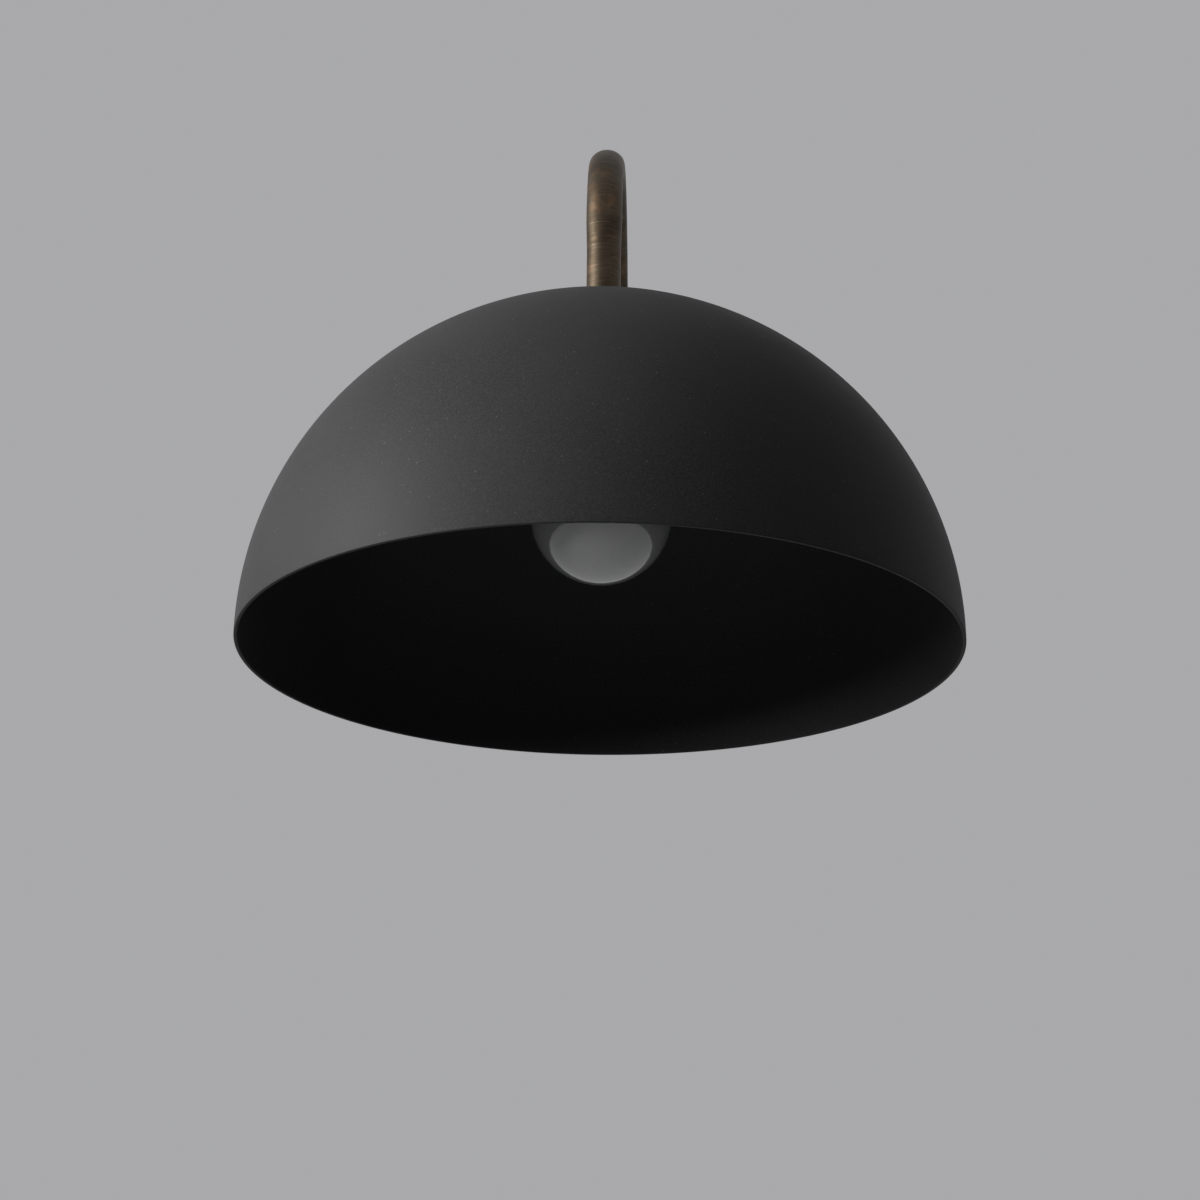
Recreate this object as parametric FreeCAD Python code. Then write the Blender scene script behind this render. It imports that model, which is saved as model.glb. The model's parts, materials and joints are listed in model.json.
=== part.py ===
import FreeCAD
import Part

import os
from math import asin, cos, degrees, hypot, pi, radians, sin, sqrt

from FreeCAD import Vector

# A wall light whose half-ball shade hangs from a hook-shaped tube. Millimetres.
# The origin is the centre of the wall bracket, on the wall. X runs to the right, Y into the wall, Z up.

# Fits
THREAD_CLEARANCE = 0.05   # radial, between a plain thread blank and its hole
HOLE_CLEARANCE = 0.3      # radial, round a part that only passes through
SEAT_CLEARANCE = 0.1      # radial, between turned parts that slip together
PRESS_CLEARANCE = 0.05    # between a lead and what presses on it
CUT_OVERRUN = 1.0         # how far a cutting body runs past what it cuts
SAME_PLACE = 1e-3         # two places closer than this are one

# Shade: a spun half ball with a small flat land round its top hole
SHADE_RADIUS = 152.5
SHADE_SHEET = 1.5
SHADE_LAND_RADIUS = 16.0
RIM_ROUNDING = 0.4

# Arm tube, from the shade up, over and back down, then out to the wall
TUBE_RADIUS = 7.5
TUBE_WALL = 1.2
HOOK_LEG = 42.4           # from the shade's land up to where the hook starts
HOOK_BEND_RADIUS = 57.2
REAR_LEG = 41.1           # between the hook and the elbow
ELBOW_BEND_RADIUS = 38.0
WALL_RUN = 1.0            # round tube between the wall bush and the ramp of the elbow
OVAL_WIDTH = 1.06         # a bend spreads the tube sideways to this share of its diameter
OVAL_DEPTH = 0.92         # and thins it in the plane of the bend to this share
OVAL_RAMP = 11.0          # length over which the round tube turns oval, each side of a bend's start
RAMP_SECTIONS = 5

# Collars between the tube and what it stands on
COLLAR_HEIGHT = 12.0
COLLAR_WEB = 3.0
COLLAR_FOOT_RADIUS = 13.5
COLLAR_FOOT_HEIGHT = 3.0
COLLAR_LIP = 1.3          # wall of the collar round the tube, at its top
BUSH_LENGTH = 10.0

# Threaded pipe that joins the tube to the canopy and to the lamp holder
NIPPLE_RADIUS = 4.85
NIPPLE_BORE_RADIUS = 3.4
NIPPLE_GRIP = 8.0         # length screwed into a tube bush
LOCK_NUT_FLATS = 14.0     # across flats
LOCK_NUT_THICKNESS = 3.0
WASHER_RADIUS = 8.0
SHADE_WASHER_RADIUS = 13.0
SHADE_WASHER_THICKNESS = 1.0
LOCK_WASHER_THICKNESS = 0.8

# Canopy over the outlet box
CANOPY_RADIUS = 60.0
CANOPY_DEPTH = 22.0
CANOPY_SHEET = 1.5
CANOPY_CORNER_RADIUS = 5.0

# Bracket, a bent steel strip with a tongue
BRACKET_SHEET = 2.0
BRACKET_WIDTH = 20.0
BRACKET_GAP = 1.5         # between a tab and the canopy's wall
BRACKET_BEND_RADIUS = 3.5 # outside of the bend
TAB_HEIGHT = 17.0
TAB_CORNER_RADIUS = 4.0
BOX_SCREW_SPACING = 88.9
BOX_SLOT_RADIUS = 2.3
BOX_SLOT_LENGTH = 12.0
TONGUE_WIDTH = 30.0
TONGUE_MARGIN = 9.0       # below the cable hole's centre
TONGUE_CORNER_RADIUS = 6.0
CABLE_HOLE_RADIUS = 6.0
CABLE_HOLE_DROP = 10.0    # from the terminal block to the cable hole's centre

# Screws
CANOPY_SCREW_RADIUS = 2.0
CANOPY_SCREW_HEIGHT = 11.0  # from the wall to the screw's axis
CANOPY_SCREW_TIP = 1.5      # screw end beyond the tab
CANOPY_SCREW_HEAD_RADIUS = 4.0
CANOPY_SCREW_HEAD_HEIGHT = 2.6
GROUND_SCREW_RADIUS = 2.0
GROUND_SCREW_HEAD_RADIUS = 3.6
GROUND_SCREW_HEAD_HEIGHT = 2.2
GROUND_SCREW_X = -26.0
GROUND_SCREW_Z = -6.0
BLOCK_SCREW_RADIUS = 1.5
BLOCK_SCREW_HEAD_RADIUS = 2.6
BLOCK_SCREW_HEAD_HEIGHT = 1.8
SLOT_SHARE = 0.2          # width of a screwdriver slot over the head's diameter
SLOT_DEPTH_SHARE = 0.4    # its depth over the head's height
CHAMFER_SHARE = 0.4       # chamfer of a head over its height or radius, whichever is less

# Leads
WIRE_RADIUS = 1.0
WIRE_GAP = 0.3            # between the two leads in the tube
EARTH_BEND_RADIUS = 6.0
EARTH_FOOT_BEND_RADIUS = 3.0
BLOCK_BEND_RADIUS = 4.0
BLOCK_BEND_Z = -9.0       # where a lead turns down into its pole
HOLDER_BEND_RADIUS = 3.2

# Terminal block, two poles
POLE_SPACING = 12.0
BLOCK_WIDTH = 24.0
BLOCK_LENGTH = 17.0
BLOCK_BASE_HEIGHT = 9.0
BLOCK_HEIGHT = 13.5
BLOCK_TOP_Z = -15.0
SLEEVE_RADIUS = 2.4
SLEEVE_WALL = 1.1
SLEEVE_INSET = 1.0        # from the block's face to the sleeve's end
SLEEVE_HEIGHT = 5.0       # of the sleeve's axis over the bracket
TOWER_RADIUS = 3.4
CLAMP_SPACING = 8.0       # between the two screws of a pole
CLAMP_SCREW_RADIUS = 1.3
CLAMP_HEAD_RADIUS = 2.1
CLAMP_HEAD_DROP = 0.8     # screw head below the tower's top
BLOCK_WIRE_GRIP = 8.0     # length of lead inside the block

# Earth lug under the wall nut
LUG_THICKNESS = 0.8
LUG_TAIL_WIDTH = 3.6
LUG_BARREL_RADIUS = 1.7
LUG_BARREL_START = 9.5
LUG_BARREL_LENGTH = 6.0
LUG_TAIL_START = 7.0      # inside the ring
LUG_WIRE_GRIP = 4.0

# Lamp holder, for a medium screw base
HOLDER_RADIUS = 19.5
HOLDER_PLATE = 2.0
HOLDER_SHOULDER_RADIUS = 3.0
HOLDER_WALL = 1.5
CAP_SKIRT_HEIGHT = 9.1    # outside height of the holder's cap
SKIRT_THREAD_LENGTH = 6.3
SKIRT_LEDGE = 1.0         # width of the ledge that the insert stands on
SKIRT_MOUTH_DROP = 27.5   # from the cap's lower edge to the mouth
INSERT_RADIUS = 15.2
INSERT_RIM = 2.0
INSERT_WEB = 2.7
INSERT_FOOT = 2.2
WIRING_SPACE = 4.3        # over the insert's web
SHELL_BORE_RADIUS = 13.45
SHELL_SHEET = 0.4
SHELL_LENGTH = 22.5
SHELL_EYE_RADIUS = 8.2
CONTACT_SHEET = 0.5
CONTACT_WIDTH = 7.0
CONTACT_OFFSET = -1.3     # of the strips' middle line from the leads
CONTACT_SLOT_X = 5.2
CONTACT_END_X = 11.8
CONTACT_DIP = 1.7         # of the spring contact below the insert's web
CONTACT_FLAT_X = 1.0      # end of the flat that meets the bulb
CONTACT_TIP_X = 3.5
CONTACT_TIP_RISE = 0.6
SHELL_TAB_X = 11.2
SHELL_TAB_END_X = 5.8
TERMINAL_X = 8.8
TERMINAL_SCREW_RADIUS = 1.4
TERMINAL_HEAD_RADIUS = 3.2
TERMINAL_HEAD_HEIGHT = 1.3
TERMINAL_WIRE_END_X = 11.3

# Bulb
BULB_RADIUS = 30.25
BULB_GLASS = 1.0
CEMENT_GAP = 0.1          # between the neck and the cap
BULB_NECK_DROP = 46.3     # from the straight neck's end to the ball's centre
BULB_NECK_SHOWN = 3.4     # straight neck below the cap
BULB_NECK_HIDDEN = 8.0    # straight neck inside the cap
BULB_CAP_RADIUS = 13.0
BULB_CAP_SHEET = 0.3
BULB_CAP_LENGTH = 24.0    # from its lower edge to the end contact's face
BULB_CAP_SHOULDER = 4.0   # height of the cap's closed end, contact included
BULB_CAP_EYE_RADIUS = 7.0
BULB_INSULATOR_RADIUS = 8.0
BULB_INSULATOR_HEIGHT = 2.2
BULB_CONTACT_RADIUS = 4.6
BULB_CONTACT_HEIGHT = 1.1
BULB_CONTACT_GAP = 0.1
STEM_RADIUS = 4.0
STEM_LENGTH = 34.0
STEM_FLARE_HEIGHT = 8.0
FILAMENT_RADIUS = 0.8
FILAMENT_LENGTH = 34.0
FILAMENT_TOP_SPREAD = 2.6
FILAMENT_FOOT_SPREAD = 12.0
FILAMENT_COUNT = 4

# Places that follow, along Y
TUBE_END_Y = -(CANOPY_DEPTH + COLLAR_WEB)
ELBOW_END_Y = TUBE_END_Y - BUSH_LENGTH - WALL_RUN - OVAL_RAMP
REACH = 2 * HOOK_BEND_RADIUS + ELBOW_BEND_RADIUS - ELBOW_END_Y

# Heights that follow, counted from the shade's rim
LAND_OUTER = sqrt(SHADE_RADIUS**2 - SHADE_LAND_RADIUS**2)
LAND_INNER = LAND_OUTER - SHADE_SHEET
TUBE_FOOT = LAND_OUTER + COLLAR_WEB
HOOK_START = LAND_OUTER + HOOK_LEG
BRACKET_LEVEL = HOOK_START - REAR_LEG - ELBOW_BEND_RADIUS
NUT_TOP = LAND_INNER - SHADE_WASHER_THICKNESS
HOLDER_TOP = NUT_TOP - LOCK_NUT_THICKNESS
HOLDER_CEILING = HOLDER_TOP - HOLDER_PLATE
CAP_EDGE = HOLDER_TOP - CAP_SKIRT_HEIGHT
HOLDER_MOUTH = CAP_EDGE - SKIRT_MOUTH_DROP
WEB_TOP = HOLDER_CEILING - WIRING_SPACE
WEB_UNDERSIDE = WEB_TOP - INSERT_WEB
INSERT_LEDGE = WEB_UNDERSIDE - INSERT_FOOT
BULB_TOP = WEB_UNDERSIDE - CONTACT_DIP - BULB_CONTACT_GAP
BULB_CAP_RIM = BULB_TOP - BULB_CAP_LENGTH
NECK_END = BULB_CAP_RIM - BULB_NECK_SHOWN
BALL_CENTRE = NECK_END - BULB_NECK_DROP

# Radii that follow
TUBE_BORE_RADIUS = TUBE_RADIUS - TUBE_WALL
NIPPLE_HOLE_RADIUS = NIPPLE_RADIUS + HOLE_CLEARANCE
NIPPLE_THREAD_RADIUS = NIPPLE_RADIUS + THREAD_CLEARANCE
WIRE_X = WIRE_RADIUS + WIRE_GAP / 2
BULB_NECK_RADIUS = BULB_CAP_RADIUS - BULB_CAP_SHEET - CEMENT_GAP
STEM_FLARE_RADIUS = BULB_NECK_RADIUS - BULB_GLASS
LINE_SIDE, NEUTRAL_SIDE = -1, 1

# Depths that follow at the wall, counted out from the wall
CANOPY_INNER = CANOPY_DEPTH - CANOPY_SHEET
LUG_FRONT = CANOPY_INNER
WASHER_FRONT = LUG_FRONT - LUG_THICKNESS
WALL_NUT_FRONT = WASHER_FRONT - LOCK_WASHER_THICKNESS
WALL_NUT_BACK = WALL_NUT_FRONT - LOCK_NUT_THICKNESS
NIPPLE_OVERHANG = 1.0
TAB_X = CANOPY_RADIUS - CANOPY_SHEET - BRACKET_GAP
SLEEVE_DEPTH = BRACKET_SHEET + SLEEVE_HEIGHT
BLOCK_BACK = BRACKET_SHEET
POLE_XS = (-POLE_SPACING / 2, POLE_SPACING / 2)
BLOCK_CENTRE_Z = BLOCK_TOP_Z - BLOCK_LENGTH / 2
BLOCK_FOOT_Z = BLOCK_TOP_Z - BLOCK_LENGTH
EARTH_DEPTH = WASHER_FRONT - LUG_BARREL_RADIUS + LUG_THICKNESS / 2
CABLE_HOLE_Z = BLOCK_TOP_Z - BLOCK_LENGTH - CABLE_HOLE_DROP


# Helpers

def outline(start, *steps):
    """Closed face in the XZ plane. A step is a point to draw to, or the middle and the end of an arc."""
    edges = []
    here = Vector(start[0], 0, start[1])
    for step in steps + (start,):
        points = step if isinstance(step[0], tuple) else (step,)
        middle_and_end = [Vector(x, 0, z) for x, z in points]
        end = middle_and_end[-1]
        if len(points) == 2:
            edges.append(Part.Arc(here, middle_and_end[0], end).toShape())
        elif here.distanceToPoint(end) > SAME_PLACE:
            edges.append(Part.LineSegment(here, end).toShape())
        here = end
    return Part.Face(Part.Wire(edges))


def arc(centre, radius, start, end):
    """Arc step for an outline, with angles in degrees from the X axis."""
    middle = (start + end) / 2
    return tuple((centre[0] + radius * cos(radians(a)), centre[1] + radius * sin(radians(a)))
                 for a in (middle, end))


def turned(start, *steps):
    """Solid of revolution about the Z axis, from an outline in radius and height."""
    return outline(start, *steps).revolve(Vector(0, 0, 0), Vector(0, 0, 1), 360)


def ring(outer, inner, low, high):
    return turned((inner, low), (outer, low), (outer, high), (inner, high))


def cylinder(radius, low, high, x=0.0, y=0.0):
    return Part.makeCylinder(radius, high - low, Vector(x, y, low))


def bar(radius, start, end):
    """Round bar between two points."""
    run = end - start
    return Part.makeCylinder(radius, run.Length, start, run)


def box(low, high):
    size = [b - a for a, b in zip(low, high)]
    return Part.makeBox(*size, Vector(*low))


def hexagon(flats, low, high):
    corner = flats / sqrt(3)
    angles = [radians(60 * i) for i in range(7)]
    points = [Vector(corner * cos(a), corner * sin(a), low) for a in angles]
    return Part.Face(Part.makePolygon(points)).extrude(Vector(0, 0, high - low))


def slot(x, y, length, radius, low, high):
    """Solid to cut a round-ended slot along X."""
    run = length / 2 - radius
    body = box((x - run, y - radius, low), (x + run, y + radius, high))
    for end in (-run, run):
        body = body.fuse(cylinder(radius, low, high, x + end, y))
    return body.removeSplitter()


def joined(first, *others):
    return first.multiFuse(list(others)).removeSplitter()


def in_shade(shape, height=0.0):
    """From the shade's own frame, rim plane at zero, to its place in front of the wall."""
    moved = shape.copy()
    moved.translate(Vector(0, -REACH, height - BRACKET_LEVEL))
    return moved


def on_wall(shape, depth=0.0):
    """From a frame lying on the wall, Z out towards the room and Y up, to its place."""
    moved = shape.copy()
    moved.translate(Vector(0, 0, depth))
    moved.rotate(Vector(0, 0, 0), Vector(1, 0, 0), 90)
    return moved


def bent_path(points, radii):
    """Wire of straight runs through points, each inner corner rounded by its radius."""
    edges = []
    here = points[0]
    for before, corner, after, radius in zip(points, points[1:], points[2:], radii):
        back = (before - corner).normalize()
        ahead = (after - corner).normalize()
        half_turn = (pi - back.getAngle(ahead)) / 2
        setback = radius * sin(half_turn) / cos(half_turn)
        start = corner + back * setback
        end = corner + ahead * setback
        bisector = (back + ahead).normalize()
        middle = corner + bisector * (radius / cos(half_turn) - radius)
        if here.distanceToPoint(start) > SAME_PLACE:
            edges.append(Part.LineSegment(here, start).toShape())
        edges.append(Part.Arc(start, middle, end).toShape())
        here = end
    edges.append(Part.LineSegment(here, points[-1]).toShape())
    return Part.Wire(edges)


def rod_along(points, radii, radius):
    """Round rod along a bent path."""
    path = bent_path(points, radii)
    first_run = points[1] - points[0]
    section = Part.Wire([Part.Circle(points[0], first_run, radius).toShape()])
    rod = path.makePipeShell([section], True, False)
    print("rod: volume over section times length", round(rod.Volume / (pi * radius**2 * path.Length), 4))
    return rod


def screw(shank_radius, shank_length, head_radius, head_height):
    """Slotted screw with a chamfered head on the plane z = 0 and its shank below."""
    chamfer = CHAMFER_SHARE * min(head_height, head_radius)
    body = turned(
        (0, -shank_length), (shank_radius, -shank_length), (shank_radius, 0), (head_radius, 0),
        (head_radius, head_height - chamfer), (head_radius - chamfer, head_height), (0, head_height))
    half_slot = SLOT_SHARE * head_radius
    floor = head_height * (1 - SLOT_DEPTH_SHARE)
    return body.cut(box((-head_radius, -half_slot, floor), (head_radius, half_slot, head_height)))


# Arm

def oval(point, heading, half_width, half_depth):
    """Section of the tube: an ellipse lying wide along X, or a circle where both halves are alike."""
    if half_width > half_depth:
        across = Vector(0, heading.z, -heading.y)
        curve = Part.Ellipse(point + Vector(half_width, 0, 0), point + across * half_depth, point)
    else:
        curve = Part.Circle(point, heading, half_width)
        curve.XAxis = Vector(1, 0, 0)
    return Part.Wire([curve.toShape()])


def on_bend(start, heading, turn_side, bend_radius, distance):
    """Point and heading on a bend, at a distance along the tube from the bend's start."""
    angle = max(distance, 0) / bend_radius
    side = turn_side * sin(angle)
    forward = cos(angle)
    across = Vector(0, heading.z, -heading.y)
    centre_shift = across * (turn_side * bend_radius * (1 - forward))
    point = start + centre_shift + heading * (bend_radius * sin(angle) + min(distance, 0))
    return point, heading * forward + across * side


def bend(start, heading, turn_side, bend_radius, turn, inset):
    """A bend whose ends ramp from the round tube to the oval, both ends alike. Inset gives the bore."""
    def half_axes(share):
        blend = share * share * (3 - 2 * share)
        return (TUBE_RADIUS * (1 + (OVAL_WIDTH - 1) * blend) - inset,
                TUBE_RADIUS * (1 + (OVAL_DEPTH - 1) * blend) - inset)

    across = Vector(0, heading.z, -heading.y)
    centre = start + across * (turn_side * bend_radius)
    axis = Vector(-turn_side, 0, 0)
    ramp = []
    for i in range(RAMP_SECTIONS):
        distance = OVAL_RAMP * (2 * i / (RAMP_SECTIONS - 1) - 1)
        point, along = on_bend(start, heading, turn_side, bend_radius, distance)
        width, depth = half_axes(i / (RAMP_SECTIONS - 1))
        ramp.append(oval(point, along, width, depth))
    lead_in = Part.makeLoft(ramp, True, False)
    ramp_turn = OVAL_RAMP / bend_radius
    middle = Part.Face(ramp[-1]).revolve(centre, axis, (turn - 2 * ramp_turn) * 180 / pi)
    half_way = on_bend(start, heading, turn_side, bend_radius, turn / 2 * bend_radius)[1]
    lead_out = lead_in.mirror(centre, half_way)
    return [lead_in, middle, lead_out]


def tube_core(inset, overrun):
    """The tube's outside, or with an inset its bore, run on past both ends by the overrun."""
    rear_y = -REACH + 2 * HOOK_BEND_RADIUS
    foot = Vector(0, -REACH, TUBE_FOOT - overrun - BRACKET_LEVEL)
    hook = Vector(0, -REACH, HOOK_START - BRACKET_LEVEL)
    hook_end = Vector(0, rear_y, hook.z)
    elbow = Vector(0, rear_y, ELBOW_BEND_RADIUS)
    elbow_end = Vector(0, rear_y + ELBOW_BEND_RADIUS, 0)
    tube_end = Vector(0, TUBE_END_Y + overrun, 0)
    up, down, wallward = Vector(0, 0, 1), Vector(0, 0, -1), Vector(0, 1, 0)
    radius = TUBE_RADIUS - inset
    straights = [
        (foot, hook - up * OVAL_RAMP),
        (hook_end + down * OVAL_RAMP, elbow - down * OVAL_RAMP),
        (elbow_end + wallward * OVAL_RAMP, tube_end),
    ]
    pieces = [bar(radius, low, high) for low, high in straights]
    pieces += bend(hook, up, 1, HOOK_BEND_RADIUS, pi, inset)
    pieces += bend(elbow, down, -1, ELBOW_BEND_RADIUS, pi / 2, inset)
    return joined(*pieces)


def arm_tube():
    return tube_core(0, 0).cut(tube_core(TUBE_WALL, CUT_OVERRUN))


def tube_bush():
    """Threaded bush brazed into a tube end, from the end at zero upwards."""
    return ring(TUBE_BORE_RADIUS - THREAD_CLEARANCE, NIPPLE_THREAD_RADIUS, 0, BUSH_LENGTH)


def tube_bushes():
    at_wall = on_wall(tube_bush(), -TUBE_END_Y)
    return Part.makeCompound([in_shade(tube_bush(), TUBE_FOOT), at_wall])


def collar():
    """Turned collar: a foot, a cove and a lip round the tube, on a web that the tube stands on."""
    bore = TUBE_RADIUS + SEAT_CLEARANCE
    lip_radius = bore + COLLAR_LIP
    cove = COLLAR_FOOT_RADIUS - lip_radius
    return turned(
        (NIPPLE_HOLE_RADIUS, 0), (COLLAR_FOOT_RADIUS, 0), (COLLAR_FOOT_RADIUS, COLLAR_FOOT_HEIGHT),
        arc((COLLAR_FOOT_RADIUS, COLLAR_FOOT_HEIGHT + cove), cove, 270, 180),
        (lip_radius, COLLAR_HEIGHT), (bore, COLLAR_HEIGHT), (bore, COLLAR_WEB),
        (NIPPLE_HOLE_RADIUS, COLLAR_WEB))


def nipple(low, high):
    return ring(NIPPLE_RADIUS, NIPPLE_BORE_RADIUS, low, high)


def lock_nut():
    """Hexagon nut with its thread bore, from zero up."""
    body = hexagon(LOCK_NUT_FLATS, 0, LOCK_NUT_THICKNESS)
    return body.cut(cylinder(NIPPLE_THREAD_RADIUS, 0, LOCK_NUT_THICKNESS))


# Wall fixing

def side_hole(radius, reach):
    """Cut along X at the side screws' height, out past the reach to both sides."""
    end = reach + CUT_OVERRUN
    return bar(radius, Vector(-end, 0, CANOPY_SCREW_HEIGHT), Vector(end, 0, CANOPY_SCREW_HEIGHT))


def canopy():
    inner_radius = CANOPY_RADIUS - CANOPY_SHEET
    inner_corner = CANOPY_CORNER_RADIUS - CANOPY_SHEET
    corner = (CANOPY_RADIUS - CANOPY_CORNER_RADIUS, CANOPY_DEPTH - CANOPY_CORNER_RADIUS)
    body = turned(
        (CANOPY_RADIUS, 0), (CANOPY_RADIUS, corner[1]), arc(corner, CANOPY_CORNER_RADIUS, 0, 90),
        (NIPPLE_HOLE_RADIUS, CANOPY_DEPTH), (NIPPLE_HOLE_RADIUS, CANOPY_INNER),
        (corner[0], CANOPY_INNER), arc(corner, inner_corner, 90, 0), (inner_radius, 0))
    return on_wall(body.cut(side_hole(CANOPY_SCREW_RADIUS + HOLE_CLEARANCE, CANOPY_RADIUS)))


def canopy_screws():
    """Two side screws through the canopy's wall into the bracket's tabs, heads outside."""
    length = CANOPY_RADIUS - TAB_X + BRACKET_SHEET + CANOPY_SCREW_TIP
    screws = []
    for side in (-1, 1):
        one = screw(CANOPY_SCREW_RADIUS, length, CANOPY_SCREW_HEAD_RADIUS, CANOPY_SCREW_HEAD_HEIGHT)
        one.rotate(Vector(0, 0, 0), Vector(0, 1, 0), 90 * side)
        one.translate(Vector(side * CANOPY_RADIUS, 0, CANOPY_SCREW_HEIGHT))
        screws.append(on_wall(one))
    return Part.makeCompound(screws)


def bracket_strip():
    """Steel strip along X with both ends bent up into tabs."""
    outer = BRACKET_BEND_RADIUS
    inner = outer - BRACKET_SHEET
    flat_end = TAB_X - outer
    inside = TAB_X - BRACKET_SHEET
    face = outline(
        (-TAB_X, TAB_HEIGHT), (-TAB_X, outer), arc((-flat_end, outer), outer, 180, 270),
        (flat_end, 0), arc((flat_end, outer), outer, 270, 360), (TAB_X, TAB_HEIGHT),
        (inside, TAB_HEIGHT), (inside, outer), arc((flat_end, outer), inner, 360, 270),
        (-flat_end, BRACKET_SHEET), arc((-flat_end, outer), inner, 270, 180), (-inside, TAB_HEIGHT))
    strip = face.extrude(Vector(0, BRACKET_WIDTH, 0))
    strip.translate(Vector(0, -BRACKET_WIDTH / 2, 0))
    corners = [e for e in strip.Edges
               if e.BoundBox.ZMin > TAB_HEIGHT - SAME_PLACE and e.BoundBox.YLength < SAME_PLACE]
    return strip.makeFillet(TAB_CORNER_RADIUS, corners)


def bracket_tongue():
    """Plate below the strip that carries the terminal block and the cable hole."""
    low = CABLE_HOLE_Z - TONGUE_MARGIN
    half = TONGUE_WIDTH / 2
    plate = box((-half, low, 0), (half, 0, BRACKET_SHEET))
    corners = [e for e in plate.Edges
               if e.BoundBox.YMax < low + SAME_PLACE and e.BoundBox.XLength < SAME_PLACE]
    return plate.makeFillet(TONGUE_CORNER_RADIUS, corners)


def wall_bracket():
    body = joined(bracket_strip(), bracket_tongue())
    round_holes = [
        (CABLE_HOLE_RADIUS, 0, CABLE_HOLE_Z),
        (GROUND_SCREW_RADIUS + THREAD_CLEARANCE, GROUND_SCREW_X, GROUND_SCREW_Z),
        (BLOCK_SCREW_RADIUS + THREAD_CLEARANCE, 0, BLOCK_CENTRE_Z),
    ]
    cuts = [cylinder(radius, 0, BRACKET_SHEET, x, z) for radius, x, z in round_holes]
    for x in (-BOX_SCREW_SPACING / 2, BOX_SCREW_SPACING / 2):
        cuts.append(slot(x, 0, BOX_SLOT_LENGTH, BOX_SLOT_RADIUS, 0, BRACKET_SHEET))
    cuts.append(side_hole(CANOPY_SCREW_RADIUS + THREAD_CLEARANCE, TAB_X))
    return on_wall(body.cut(cuts))


def ground_screw():
    """Screw whose head presses the earth lead onto the bracket."""
    head_seat = BRACKET_SHEET + 2 * WIRE_RADIUS + PRESS_CLEARANCE
    one = screw(GROUND_SCREW_RADIUS, head_seat, GROUND_SCREW_HEAD_RADIUS, GROUND_SCREW_HEAD_HEIGHT)
    one.translate(Vector(GROUND_SCREW_X, GROUND_SCREW_Z, head_seat))
    return on_wall(one)


def ground_lug():
    """Ring under the wall nut, with a tail and a barrel that grips the earth lead."""
    ring_part = ring(WASHER_RADIUS, NIPPLE_HOLE_RADIUS, WASHER_FRONT, LUG_FRONT)
    barrel_end = LUG_BARREL_START + LUG_BARREL_LENGTH
    half = LUG_TAIL_WIDTH / 2
    tail = box((-barrel_end, -half, WASHER_FRONT), (-LUG_TAIL_START, half, LUG_FRONT))
    end = Vector(-barrel_end, 0, EARTH_DEPTH)
    barrel = bar(LUG_BARREL_RADIUS, Vector(-LUG_BARREL_START, 0, EARTH_DEPTH), end)
    bore = bar(WIRE_RADIUS, Vector(LUG_WIRE_GRIP - barrel_end, 0, EARTH_DEPTH), end)
    return on_wall(joined(ring_part, tail, barrel).cut(bore))


def ground_lead():
    start_x = LUG_WIRE_GRIP - LUG_BARREL_START - LUG_BARREL_LENGTH
    foot_x = GROUND_SCREW_X - GROUND_SCREW_RADIUS - WIRE_RADIUS - PRESS_CLEARANCE
    foot_depth = BRACKET_SHEET + WIRE_RADIUS
    end_z = GROUND_SCREW_Z - GROUND_SCREW_HEAD_RADIUS
    points = [
        Vector(start_x, -EARTH_DEPTH, 0),
        Vector(foot_x, -EARTH_DEPTH, 0),
        Vector(foot_x, -foot_depth, 0),
        Vector(foot_x, -foot_depth, end_z),
    ]
    return rod_along(points, [EARTH_BEND_RADIUS, EARTH_FOOT_BEND_RADIUS], WIRE_RADIUS)


def wall_nipple():
    return on_wall(nipple(WALL_NUT_BACK - NIPPLE_OVERHANG, -TUBE_END_Y + NIPPLE_GRIP))


def wall_lock_washer():
    return on_wall(ring(WASHER_RADIUS, NIPPLE_HOLE_RADIUS, WALL_NUT_FRONT, WASHER_FRONT))


def wall_lock_nut():
    return on_wall(lock_nut(), WALL_NUT_BACK)


# Terminal block, in the wall frame

def clamp_places():
    """Axes of the clamping screws, two to a pole."""
    half = CLAMP_SPACING / 2
    return [(x, z) for x in POLE_XS for z in (BLOCK_CENTRE_Z - half, BLOCK_CENTRE_Z + half)]


def terminal_block():
    top = BLOCK_BACK + BLOCK_HEIGHT
    base_top = BLOCK_BACK + BLOCK_BASE_HEIGHT
    half = BLOCK_WIDTH / 2
    well_radius = CLAMP_HEAD_RADIUS + SEAT_CLEARANCE
    body = box((-half, BLOCK_FOOT_Z, BLOCK_BACK), (half, BLOCK_TOP_Z, base_top))
    towers = [cylinder(TOWER_RADIUS, BLOCK_BACK, top, x, z) for x, z in clamp_places()]
    cuts = [cylinder(well_radius, SLEEVE_DEPTH, top, x, z) for x, z in clamp_places()]
    for x in POLE_XS:
        low = Vector(x, BLOCK_FOOT_Z, SLEEVE_DEPTH)
        cuts.append(bar(SLEEVE_RADIUS, low, Vector(x, BLOCK_TOP_Z, SLEEVE_DEPTH)))
    cuts.append(cylinder(BLOCK_SCREW_RADIUS + THREAD_CLEARANCE, BLOCK_BACK, base_top, 0, BLOCK_CENTRE_Z))
    return on_wall(joined(body, *towers).cut(cuts))


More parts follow.
